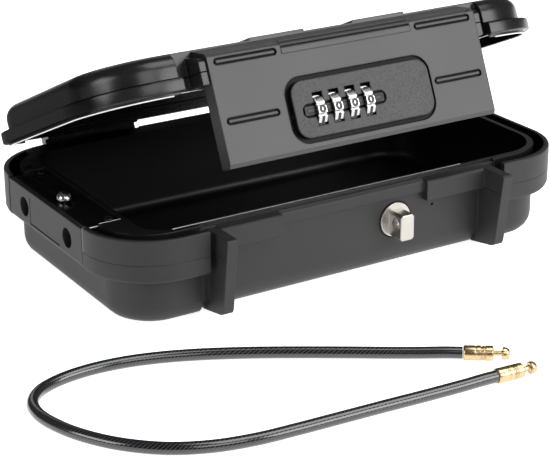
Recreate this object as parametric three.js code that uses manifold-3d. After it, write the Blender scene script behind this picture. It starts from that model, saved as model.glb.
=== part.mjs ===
// Portable car safe: a moulded case with a hinged lid, a four dial lock and a loose security cable.
// Millimetres, +Z up, +X to the right and +Y to the back. The origin is under the middle of the case.
import * as THREE from 'three'
import { mergeVertices } from 'three/addons/utils/BufferGeometryUtils.js'
import Module from 'manifold-3d'

const wasm = await Module()
wasm.setup()

// General clearances
const restGap = 0.3
const throughCut = 5
const weld = 0.5
const largeRound = 3

// Case: a tub with a wider rim band round its top
const caseLength = 240
const caseDepth = 140
const caseCornerRadius = 31.5
const rimTop = 42
const bandBottom = 22.5
const bandInset = 8
const tubCornerRadius = 22
const tubBottomRadius = 8
const edgeRound = 0.8
const bandBottomRound = 2
const wallThickness = 2.5
const rimWallThickness = 2.5
const floorThickness = 3
const grooveFloor = 27
const grooveRearMargin = 14
const grooveRearEnd = caseDepth / 2 - grooveRearMargin

// Recessed front of the case, where the lock cover closes
const recessHalfWidth = 77
const recessBottomRound = 11
const frontWallInset = 8.5
const frontWallY = frontWallInset - caseDepth / 2
const frontWallThickness = 3
const frontRimTop = 40.5
const blockDepth = 4
const blockFrontY = frontWallY - blockDepth
const blockBottom = 30.5
const blockTop = 39
const stripDepth = 1.5
const stripFrontY = frontWallY - stripDepth
const stripBottom = 34.4
const stripTop = 38.6
const cutoutLeft = -38.9
const cutoutRight = 37.2
const stepBottom = 27.2
const stepRight = -44.5
const stepDepth = 1.2
const drainHoleRadius = 0.6
const drainHoleDepth = 1.5
const drainHolePlace = [42.9, 26.7]

// Guard ribs at both sides of the lock cover
const ribInner = 69.3
const ribThickness = 5
const ribTop = 39.9
const ribBottom = 4.2
const ribTopDepth = 18
const ribBottomDepth = 13.3
const ribTopReach = frontWallY - ribTopDepth
const ribBottomReach = frontWallY - ribBottomDepth
const ribCorner = 2.6
const cornerCut = 0.3
const ribRootDepth = 4.5
const pilasterWidth = 3.2
const pilasterDepth = 1.5
const pilasterBottom = 8

// Anchor at the left end, which holds the two cable ends
const anchorFrontY = -36.3
const anchorRearY = 39.2
const anchorWidth = 18.2
const anchorInnerX = anchorWidth - caseLength / 2
const anchorTop = 41
const anchorSlack = 0.3
const dividerThickness = 2
const shelfThickness = 3
const socketRadius = 4.5
const socketSpacing = 44.3
const socketMiddleY = 0.85
const socketHeight = 32
const socketInnerRadius = 3.4
const socketEndWall = 1.8
const socketInnerEnd = anchorInnerX - socketEndWall
const coverRimWidth = 2.6
const coverThickness = 1.7
const panelLineWidth = 0.6
const panelLineDepth = 0.5
const panelLineFront = -13.15
const panelLineRear = 16.45
const panelLineBottom = 25.5
const panelLineTop = 38
const coverLineDepth = 0.4
const cornerPocketGap = 3.2
const cornerPocketWidth = 5.6
const cornerPocketDepth = 5.4
const cornerPocketRearGap = 3
const cornerPocketRight = anchorInnerX - cornerPocketGap
const cornerPocketFront = anchorRearY + cornerPocketRearGap
const cornerPocketFloor = 36

// Sliding plate that traps the cable ends, and its knob
const slideInset = 8.8
const slideX = slideInset - caseLength / 2
const slideThickness = 2
const slideBottom = 27.5
const slideTop = 37.4
const slideClearance = 0.4
const slideTravel = 5.5
const keyholeRadius = 3.2
const keyholeSlotWidth = 2.6
const slideEndMargin = 2.6
const knobY = -1
const knobRadius = 3.4
const knobCollarRadius = 3
const knobStemRadius = 1.1
const knobSlotWidth = 3.6
const knobCollarHeight = 0.5
const knobDomeSteps = 6

// Small screws of the anchor cover
const coverScrewHeadRadius = 2.1
const coverScrewHeadHeight = 1.2
const coverScrewShaftRadius = 1
const coverScrewLength = 7
const coverScrewInset = 3.7
const coverScrewPlaces = [anchorRearY - coverScrewInset, anchorFrontY + coverScrewInset]
  .map((y) => [anchorInnerX - coverScrewInset, y])

// Strike stud on the front wall
const studX = 22.4
const studZ = 23.7
const studPlateRadius = 8
const studPlateThickness = 1.2
const studSeatDepth = 0.8
const studSeatGap = 0.6
const studWidth = 7.4
const studHeight = 12.3
const studDrop = 1
const studReach = 10
const studTipY = frontWallY - studReach
const studChamfer = 1.1
const studTipBevel = 0.77
const studShaftRadius = 3
const studShaftLength = 7.6
const studEyeRadius = 2.9
const studEyeDepth = 5.7
const studEyeY = frontWallY - studEyeDepth
const nutRadius = 5.6
const nutThickness = 3.2
const washerRadius = 6.2
const washerThickness = 0.9
const threadClearance = 0.3

// Lid: flange, dome, and the hinge line behind the case
const openAngle = 24
const hingeOffset = 1.6
const hingeY = caseDepth / 2 + hingeOffset
const hingeZ = 35.5
const flangeBottom = 42.4
const flangeTop = 47.9
const lidTop = 59.3
const lidSideInset = 1.2
const lidCornerRadius = 36
const domeInset = 4
const domeRound = 6.5
const lidWall = 2.5
const lidPlateTop = 46
const lidRimWallThickness = 4
const rearRelief = 1.2
const rearReliefSideMargin = 20
const rearReliefHalfWidth = caseLength / 2 - rearReliefSideMargin
const rearReliefMargin = 13
const rearReliefStart = caseDepth / 2 - rearReliefMargin
const lidNotchHalfWidth = 78.5
const lidFrontWallThickness = 2.2
const lipOuterInset = 2.8
const lipThickness = 1
const lipDepth = 1
const lipRearMargin = 25
const lipRearEnd = caseDepth / 2 - lipRearMargin
const shoulderOuter = 71.8
const shoulderDepth = 11.5
const shoulderFrontY = frontWallY - shoulderDepth
const shoulderTop = 54
const shoulderRootTop = 55.9
const shoulderChamfer = 1.6
const lidPadInner = 12.5
const lidPadOuter = 40
const lidPadRearY = 30
const lidPadHeight = 0.8
const lidPadRound = 0.4
const lidPadCorner = 5

// Hinges
const hingeLength = 47.5
const hingeSideMargin = 33.7
const hingeOuter = caseLength / 2 - hingeSideMargin
const hingeInner = hingeOuter - hingeLength
const knuckleRadius = 3.2
const lidKnuckleLength = 11.6
const knuckleGap = 0.5
const hingePinRadius = 1.5
const hingePinInset = 0.5
const leafDepth = 4
const leafFrontY = caseDepth / 2 - leafDepth
const armGap = 0.4
const armFrontY = caseDepth / 2 + armGap
const armTop = 45.5
const leafTop = 46.5
const skirtGap = 0.5
const pocketClearance = 0.5

// Lock cover: the flap that hangs from the front of the lid
const coverHalfWidth = 68.3
const coverDepth = 12.5
const coverFrontY = frontWallY - coverDepth
const coverWall = 2
const coverBottom = 7
const coverFaceTop = 53.6
const coverSideDepth = 7.8
const coverSideBackY = coverFrontY + coverSideDepth
const coverChamfer = 1.6
const coverChamferDepth = 1.1
const hoodShoulderDepth = 1.6
const hoodShoulderY = coverFrontY + hoodShoulderDepth
const hoodShoulderZ = 55.4
const hoodTopZ = 58.3
const centreRiseHalfWidth = 33
const centreRiseHeight = 4
const centreRiseDepth = 0.4
const centreRiseTop = 0.6
const bendGrooveWidth = 0.8
const bendGrooveEnd = 66
const riseGrooveDrop = 0.8
const hoodSlotInner = 34
const hoodSlotOuter = 37.5
const hoodSlotLength = 1.6
const barHeight = 3.2
const barGrooveDepth = 1
const barCoreHeight = 1.3
const barCoreBevel = 0.3
const barEndShare = 0.48
const lowerBarZ = 26.2
const lowerBarInner = 39.8
const upperBarZ = 51.3
const upperBarInner = 35.2
const barOuter = 65.5
const coverScrewXs = [-55, -20, 20, 55]
const coverScrewZ = 50
const bossRadius = 3.1

// Dial panel, which stands in a groove in the lock cover
const panelMiddleX = 1
const panelMiddleZ = 24.9
const panelWidth = 70.2
const panelHeight = 24.6
const panelCornerRadius = 6
const panelGrooveWidth = 2.1
const panelProud = 2
const panelSeatDepth = 1
const panelFrontY = coverFrontY - panelProud
const panelSeatY = coverFrontY + panelSeatDepth
const panelBevel = 0.5
const stadiumLeft = -30.3
const stadiumRight = 12
const stadiumMiddleZ = 24
const stadiumHeight = 6
const stadiumEndRadius = 2.9
const stadiumDepth = 0.9
const windowBottom = 17
const windowTop = 31.4
const windowClearance = 0.3

// Dial wheels, sleeves and the spindle that carries the bolt
const wheelCount = 4
const wheelPitch = 8.15
const firstWheelX = -21.7
const wheelWidth = 4.4
const wheelRadius = 7.6
const wheelProud = 2.2
const wheelNotch = 0.8
const digitCount = 10
const flatShare = 0.66
const dialAxisY = panelFrontY - wheelProud + wheelRadius
const dialAxisZ = 23.6
const wheelBore = 2.55
const sleeveRadius = 2.2
const sleeveBore = 1.65
const sleeveLength = 7.4
const spindleRadius = 1.3
const spindleHeadRadius = 2.1
const spindleHeadLength = 1
const mechanismClearance = 0.35
const spindleReach = 12
const spindleLeft = firstWheelX - spindleReach
const boltTravel = 4
const boltRadius = 1.9
const boltClearance = 0.35
const fingerThickness = 2
const fingerGap = 0.4
const boltTipGap = 0.8

// Lock frame behind the dial panel
const frameLeft = -38.2
const frameRight = 36.4
const frameBottom = 12
const frameTop = 37.4
const frameBackGap = 2.2
const frameBackY = frontWallY - frameBackGap
const frameWall = 1.3
const frameFrontY = coverFrontY + coverWall + restGap
const springWallReach = 5.2
const springWallX = firstWheelX - springWallReach
const springWallThickness = 1.1
const springWallHalfHeight = 4.5
const guideWallThickness = 1.1
const guideWallRise = 6
const wheelSlotHalfHeight = 6.4
const studSlotMargin = 0.8
const frameBossRadius = 2.3
const frameCupRadius = 3.4
const frameCupDepth = 1.6
const frameCupFloorY = frameBackY - frameCupDepth
const frameScrewPlaces = [[-34.2, 16], [-34.2, 33], [23.4, 33.8], [12.6, 15.6]]

// Small screws through the lock frame and through the lid's front wall
const lockScrewHeadRadius = 2
const lockScrewHeadHeight = 1.1
const lockScrewShaftRadius = 0.9
const frameScrewLength = 5.4
const lidScrewLength = 7.6
const screwCrownShare = 0.6

// Return spring of the bolt and the leaf spring that clicks the dials
const springRadius = 1.85
const springWire = 0.45
const springTurns = 3
const springStepsPerTurn = 10
const leafSpringThickness = 0.4
const leafSpringGap = 0.7
const leafSpringZ = dialAxisZ + wheelRadius + leafSpringGap
const leafSpringHeight = 2.9
const leafFingerWidth = 3.2
const pegRadius = 0.7
const pegLength = 1.3
const pegXs = [0.5, 2.5].map((pitches) => firstWheelX + pitches * wheelPitch)

// Security cable, lying on the floor in front of the case
const cableDiameter = 5
const cableSides = 10
const cableSteps = 76
const ferruleRadius = 3.1
const ferruleLength = 12
const ferruleNeckRadius = 1
const ferruleNeckLength = 3.6
const ferruleHeadRadius = 2.6
const ferruleHeadLength = 3.2
const ferruleTipRadius = 1.6
const cableRoute = [
  [-8.9, -153.7, 3.1], [-14.2, -150, 3.1], [-22, -144.6, 2.8], [-31.5, -138.1, 2.55], [-46.1, -128.3, 2.5],
  [-63, -117.4, 2.5], [-80.2, -106.9, 2.5], [-98.5, -97.2, 2.5], [-113.2, -91.1, 2.5], [-128.5, -87, 2.5],
  [-144, -85.9, 2.5], [-157, -87.9, 2.5], [-167, -92.6, 2.5], [-173, -100.2, 2.5], [-174.7, -109.6, 2.5],
  [-172.7, -121.4, 2.5], [-167.5, -134.2, 2.5], [-158.6, -147.4, 2.5], [-146, -158.9, 2.5],
  [-132, -166, 2.5], [-116, -170, 2.5], [-98, -171.7, 2.5], [-80, -172.8, 2.5], [-62, -173.9, 2.5],
  [-45, -175.1, 2.5], [-33, -176, 2.6], [-23.5, -176.8, 2.85], [-16.5, -177.3, 3.1], [-11, -177.7, 3.1]
]

// Finishes
const charcoalPlastic = new THREE.MeshStandardMaterial({ color: 0x3c3c3e, roughness: 0.62, metalness: 0 })
const lidPlastic = new THREE.MeshStandardMaterial({ color: 0x2c2c2e, roughness: 0.5, metalness: 0 })
const blackPlastic = new THREE.MeshStandardMaterial({ color: 0x161617, roughness: 0.5, metalness: 0 })
const chrome = new THREE.MeshStandardMaterial({ color: 0xd6d4cf, roughness: 0.16, metalness: 1 })
const nickel = new THREE.MeshStandardMaterial({ color: 0xbab4aa, roughness: 0.26, metalness: 1 })
const steel = new THREE.MeshStandardMaterial({ color: 0x8d8f92, roughness: 0.4, metalness: 1 })
const springSteel = new THREE.MeshStandardMaterial({ color: 0xa9abae, roughness: 0.3, metalness: 1 })
const brass = new THREE.MeshStandardMaterial({ color: 0xd9a94f, roughness: 0.24, metalness: 1 })
const cableSheath = new THREE.MeshStandardMaterial({ color: 0x1a1b1d, roughness: 0.28, metalness: 0 })

// Solids
function solidFrom(geometry) {
  const bare = geometry.index ? geometry.toNonIndexed() : geometry.clone()
  bare.deleteAttribute('normal')
  bare.deleteAttribute('uv')
  const merged = mergeVertices(bare, 1e-4)
  return new wasm.Manifold(new wasm.Mesh({
    numProp: 3,
    vertProperties: new Float32Array(merged.attributes.position.array),
    triVerts: new Uint32Array(merged.index.array)
  }))
}

function geometryFrom(solid) {
  const mesh = solid.getMesh()
  const geometry = new THREE.BufferGeometry()
  geometry.setAttribute('position', new THREE.BufferAttribute(new Float32Array(mesh.vertProperties), 3))
  geometry.setIndex(new THREE.BufferAttribute(new Uint32Array(mesh.triVerts), 1))
  geometry.computeVertexNormals()
  return geometry
}

function joined(solids) {
  return solids.reduce((whole, next) => whole.add(next))
}

function cutBy(solid, cutters) {
  return cutters.reduce((rest, cutter) => rest.subtract(cutter), solid)
}

function block(x0, x1, y0, y1, z0, z1) {
  const geometry = new THREE.BoxGeometry(x1 - x0, y1 - y0, z1 - z0)
  geometry.translate((x0 + x1) / 2, (y0 + y1) / 2, (z0 + z1) / 2)
  return solidFrom(geometry)
}

function rodX(x0, x1, y, z, radius, sides = 24) {
  const geometry = new THREE.CylinderGeometry(radius, radius, x1 - x0, sides)
  geometry.rotateZ(Math.PI / 2)
  geometry.translate((x0 + x1) / 2, y, z)
  return solidFrom(geometry)
}

function rodY(x, y0, y1, z, radius, sides = 24) {
  const geometry = new THREE.CylinderGeometry(radius, radius, y1 - y0, sides)
  geometry.translate(x, (y0 + y1) / 2, z)
  return solidFrom(geometry)
}

function rodZ(x, y, z0, z1, radius, sides = 24) {
  const geometry = new THREE.CylinderGeometry(radius, radius, z1 - z0, sides)
  geometry.rotateX(Math.PI / 2)
  geometry.translate(x, y, (z0 + z1) / 2)
  return solidFrom(geometry)
}

function roundedOutline(x0, x1, y0, y1, rightRadius, leftRadius = rightRadius) {
  const outline = new THREE.Shape()
  outline.moveTo(x0 + leftRadius, y0)
  outline.lineTo(x1 - rightRadius, y0)
  outline.absarc(x1 - rightRadius, y0 + rightRadius, rightRadius, -Math.PI / 2, 0)
  outline.lineTo(x1, y1 - rightRadius)
  outline.absarc(x1 - rightRadius, y1 - rightRadius, rightRadius, 0, Math.PI / 2)
  outline.lineTo(x0 + leftRadius, y1)
  outline.absarc(x0 + leftRadius, y1 - leftRadius, leftRadius, Math.PI / 2, Math.PI)
  outline.lineTo(x0, y0 + leftRadius)
  outline.absarc(x0 + leftRadius, y0 + leftRadius, leftRadius, Math.PI, Math.PI * 1.5)
  return outline
}

function centredOutline(length, depth, radius) {
  return roundedOutline(-length / 2, length / 2, -depth / 2, depth / 2, radius)
}

function polygonOutline(points) {
  return new THREE.Shape(points.map(([u, v]) => new THREE.Vector2(u, v)))
}

// An upright slab with its bottom or top edge rounded over
function slab(outline, z0, z1, bottomRound = 0, topRound = 0, curveSegments = 8) {
  const round = Math.max(bottomRound, topRound)
  if (round === 0) {
    const plain = new THREE.ExtrudeGeometry(outline, { depth: z1 - z0, bevelEnabled: false, curveSegments })
    plain.translate(0, 0, z0)
    return solidFrom(plain)
  }
  const spareBelow = bottomRound === 0 ? round : 0
  const spareAbove = topRound === 0 ? round : 0
  const depth = z1 - z0 + spareBelow + spareAbove - 2 * round
  const geometry = new THREE.ExtrudeGeometry(outline, {
    depth,
    bevelEnabled: true,
    bevelThickness: round,
    bevelSize: round,
    bevelOffset: -round,
    bevelSegments: round > largeRound ? 5 : 2,
    curveSegments
  })
  geometry.translate(0, 0, z0 - spareBelow + round)
  const reach = caseLength
  let rounded = solidFrom(geometry)
  if (spareBelow > 0) rounded = rounded.subtract(block(-reach, reach, -reach, reach, z0 - reach, z0))
  if (spareAbove > 0) rounded = rounded.subtract(block(-reach, reach, -reach, reach, z1, z1 + reach))
  return rounded
}

// A profile in the YZ plane carried along X
function barX(outline, x0, x1) {
  const settings = { depth: x1 - x0, bevelEnabled: false, curveSegments: 8 }
  const geometry = new THREE.ExtrudeGeometry(outline, settings)
  const turn = new THREE.Matrix4().makeBasis(
    new THREE.Vector3(0, 1, 0), new THREE.Vector3(0, 0, 1), new THREE.Vector3(1, 0, 0))
  geometry.applyMatrix4(turn)
  geometry.translate(x0, 0, 0)
  return solidFrom(geometry)
}

// A profile in the XZ plane carried along Y
function barY(outline, y0, y1, bevel = 0) {
  const geometry = new THREE.ExtrudeGeometry(outline, {
    depth: y1 - y0 - 2 * bevel,
    bevelEnabled: bevel > 0,
    bevelThickness: bevel,
    bevelSize: bevel,
    bevelOffset: -bevel,
    bevelSegments: 2,
    curveSegments: 5
  })
  const turn = new THREE.Matrix4().makeBasis(
    new THREE.Vector3(1, 0, 0), new THREE.Vector3(0, 0, 1), new THREE.Vector3(0, -1, 0))
  geometry.applyMatrix4(turn)
  geometry.translate(0, y1 - bevel, 0)
  return solidFrom(geometry)
}

// The span from one distance to another on the left (-1) or the right (1) of the middle
function spanOnSide(side, inner, outer) {
  return side < 0 ? [-outer, -inner] : [inner, outer]
}

function screwProfile(shaftRadius, length, headRadius, headHeight) {
  return [[0, -length], [shaftRadius, -length], [shaftRadius, 0], [headRadius, 0],
    [headRadius, headHeight / 2], [headRadius * screwCrownShare, headHeight], [0, headHeight]]
}

function turnedOnZ(profile, segments = 24) {
  const points = profile.map(([radius, z]) => new THREE.Vector2(radius, z))
  const geometry = new THREE.LatheGeometry(points, segments)
  geometry.rotateX(Math.PI / 2)
  return geometry
}

const safe = new THREE.Group()
const lidHinge = new THREE.Group()
lidHinge.position.set(0, hingeY, hingeZ)
lidHinge.rotation.x = -THREE.MathUtils.degToRad(openAngle)
const lidParts = new THREE.Group()
lidParts.position.set(0, -hingeY, -hingeZ)
lidHinge.add(lidParts)
safe.add(lidHinge)

function addPart(group, name, shape, material) {
  const geometry = shape instanceof THREE.BufferGeometry ? shape : geometryFrom(shape)
  const mesh = new THREE.Mesh(geometry, material)
  mesh.name = name
  group.add(mesh)
  return mesh
}

// Places that several pieces share
const halfLength = caseLength / 2
const bandMiddle = (rimTop - bandBottom) / 2
const halfDepth = caseDepth / 2
const lidLength = caseLength - 2 * lidSideInset
const tubHalfLength = halfLength - bandInset
const tubHalfDepth = halfDepth - bandInset
const cavityFrontY = frontWallY + frontWallThickness
const cavityRearY = tubHalfDepth - wallThickness
const cavityRightX = tubHalfLength - wallThickness
const cavityLeftX = anchorInnerX + anchorSlack + dividerThickness
const notchInnerX = anchorInnerX + anchorSlack
const anchorBottom = bandBottom + restGap
const socketYs = [socketMiddleY - socketSpacing / 2, socketMiddleY + socketSpacing / 2]
const wheelXs = Array.from({ length: wheelCount }, (unused, index) => firstWheelX + index * wheelPitch)
const lastWheelSide = wheelXs[wheelCount - 1] + wheelWidth / 2
const studLeft = studX - studWidth / 2
const studRight = studX + studWidth / 2
const studTop = studZ - studDrop + studHeight / 2
const studBottom = studTop - studHeight
const panelBackY = panelSeatY - restGap
const fingerLeft = wheelXs[wheelCount - 1] + sleeveLength / 2 + fingerGap
const fingerRight = fingerLeft + fingerThickness
const spindleSlotEnds = [spindleLeft - mechanismClearance, fingerRight + boltTravel + mechanismClearance]
const spindleSlotEdges = [dialAxisZ - sleeveRadius - mechanismClearance,
  dialAxisZ + sleeveRadius + mechanismClearance]
const wheelSweeps = wheelXs.map((x) => rodX(x - wheelWidth / 2 - windowClearance,
  x + wheelWidth / 2 + windowClearance, dialAxisY, dialAxisZ, wheelRadius + windowClearance, 32))
const hingeSides = [['left', -hingeOuter, -hingeInner], ['right', hingeInner, hingeOuter]]

// Case
function makeCase() {
  const tubOutline = centredOutline(2 * tubHalfLength, 2 * tubHalfDepth, tubCornerRadius)
  const tub = slab(tubOutline, 0, rimTop, tubBottomRadius)
  const bandOutline = centredOutline(caseLength, caseDepth, caseCornerRadius)
  const band = slab(bandOutline, bandBottom, bandBottom + bandMiddle, bandBottomRound)
    .add(slab(bandOutline, bandBottom + bandMiddle, rimTop, 0, edgeRound))
  const recessProfile = new THREE.Shape()
  recessProfile.moveTo(-caseLength, -throughCut)
  recessProfile.lineTo(frontWallY + recessBottomRound, -throughCut)
  recessProfile.lineTo(frontWallY + recessBottomRound, 0)
  recessProfile.absarc(frontWallY + recessBottomRound, recessBottomRound, recessBottomRound,
    -Math.PI / 2, -Math.PI, true)
  recessProfile.lineTo(frontWallY, rimTop + throughCut)
  recessProfile.lineTo(-caseLength, rimTop + throughCut)
  const recess = barX(recessProfile, -recessHalfWidth, recessHalfWidth)
  const frontDrop = block(-recessHalfWidth, recessHalfWidth, -caseLength, frontWallY + wallThickness / 2,
    frontRimTop, rimTop + throughCut)

  const grooveOutline = centredOutline(caseLength - 2 * rimWallThickness, caseDepth - 2 * rimWallThickness,
    caseCornerRadius - rimWallThickness)
  const groove = slab(grooveOutline, grooveFloor, rimTop + throughCut)
    .subtract(slab(tubOutline, grooveFloor - throughCut, rimTop + 2 * throughCut))
    .subtract(block(-recessHalfWidth, recessHalfWidth, -caseLength, 0, 0, caseLength))
    .subtract(block(-rearReliefHalfWidth, rearReliefHalfWidth, grooveRearEnd, caseLength, 0, caseLength))

  const upperOutline = roundedOutline(cavityLeftX, cavityRightX, cavityFrontY, cavityRearY,
    tubCornerRadius - wallThickness, tubCornerRadius / 2)
  const upperCavity = slab(upperOutline, floorThickness, rimTop + throughCut, tubBottomRadius / 2)
  const lowerOutline = roundedOutline(-cavityRightX, 0, cavityFrontY, cavityRearY,
    tubCornerRadius - wallThickness)
  const underShelf = slab(lowerOutline, floorThickness, bandBottom - shelfThickness, tubBottomRadius / 2)
  const anchorNotch = block(-halfLength - throughCut, notchInnerX, anchorFrontY - anchorSlack,
    anchorRearY + anchorSlack, bandBottom, rimTop + throughCut)

  const hingePockets = hingeSides.flatMap(([, x0, x1]) => [
    [x0 - pocketClearance, x0 + lidKnuckleLength + knuckleGap],
    [x1 - lidKnuckleLength - knuckleGap, x1 + pocketClearance]
  ]).map(([x0, x1]) => block(x0, x1, hingeY - knuckleRadius - pocketClearance, halfDepth + throughCut,
    hingeZ - knuckleRadius - pocketClearance, rimTop + throughCut))
  const pocket = block(cornerPocketRight - cornerPocketWidth, cornerPocketRight, cornerPocketFront,
    cornerPocketFront + cornerPocketDepth, cornerPocketFloor, rimTop + throughCut)
  const hollow = cutBy(tub.add(band), [recess, frontDrop, groove, upperCavity, underShelf, anchorNotch,
    pocket, ...hingePockets])

  const rootY = frontWallY + weld
  const blockProfile = polygonOutline([[rootY, blockBottom], [blockFrontY, blockBottom],
    [blockFrontY, blockTop], [blockFrontY + edgeRound, blockTop + edgeRound], [rootY, frontRimTop]])
  const stripProfile = polygonOutline([[rootY, stripBottom], [stripFrontY, stripBottom],
    [stripFrontY, stripTop], [stripFrontY + edgeRound / 2, stripTop + edgeRound], [rootY, frontRimTop]])
  const stepTop = blockBottom + weld
  const stepOutline = polygonOutline([[-ribInner - weld, stepBottom], [stepRight, stepBottom],
    [stepRight + blockBottom - stepBottom, stepTop], [-ribInner - weld, stepTop]])
  const ribCut = ribCorner * cornerCut
  const ribProfile = polygonOutline([
    [frontWallY + ribRootDepth, ribBottom - ribCorner],
    [ribBottomReach + ribCorner, ribBottom],
    [ribBottomReach + ribCut, ribBottom + ribCut],
    [ribBottomReach, ribBottom + ribCorner],
    [ribTopReach, ribTop - edgeRound],
    [ribTopReach + edgeRound, ribTop],
    [rootY, ribTop],
    [rootY, recessBottomRound],
    [frontWallY + ribRootDepth, ribRootDepth]
  ])
  const fronts = [
    barX(blockProfile, -ribInner - weld, cutoutLeft),
    barX(blockProfile, cutoutRight, ribInner + weld),
    barX(stripProfile, cutoutLeft - weld, cutoutRight + weld),
    barY(stepOutline, frontWallY - stepDepth, rootY),
    barX(ribProfile, -ribInner - ribThickness, -ribInner),
    barX(ribProfile, ribInner, ribInner + ribThickness)
  ]
  const ribOuter = ribInner + ribThickness
  for (const side of [-1, 1]) {
    const [x0, x1] = spanOnSide(side, ribOuter - weld, ribOuter + pilasterWidth)
    fronts.push(block(x0, x1, frontWallY - pilasterDepth, rootY, pilasterBottom, bandBottom + weld))
  }
  for (const [, x0, x1] of hingeSides) {
    const middle0 = x0 + lidKnuckleLength + knuckleGap
    const middle1 = x1 - lidKnuckleLength - knuckleGap
    fronts.push(rodX(middle0, middle1, hingeY, hingeZ, knuckleRadius))
    fronts.push(block(middle0, middle1, halfDepth - weld, hingeY, hingeZ - knuckleRadius, hingeZ))
  }
  const pinHoles = hingeSides.map(([, x0, x1]) =>
    rodX(x0, x1, hingeY, hingeZ, hingePinRadius + restGap, 16))
  const studHole = rodY(studX, frontWallY - throughCut / 2, cavityFrontY + throughCut, studZ,
    studShaftRadius + threadClearance)
  const studSeat = rodY(studX, frontWallY - throughCut / 2, frontWallY + studSeatDepth, studZ,
    studPlateRadius + studSeatGap, 36)
  const [drainX, drainZ] = drainHolePlace
  const drainHole = rodY(drainX, frontWallY - 1, frontWallY + drainHoleDepth, drainZ, drainHoleRadius, 10)
  const holes = [...pinHoles, studHole, studSeat, drainHole]
  addPart(safe, 'base_shell', cutBy(joined([hollow, ...fronts]), holes), charcoalPlastic)
}

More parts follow.
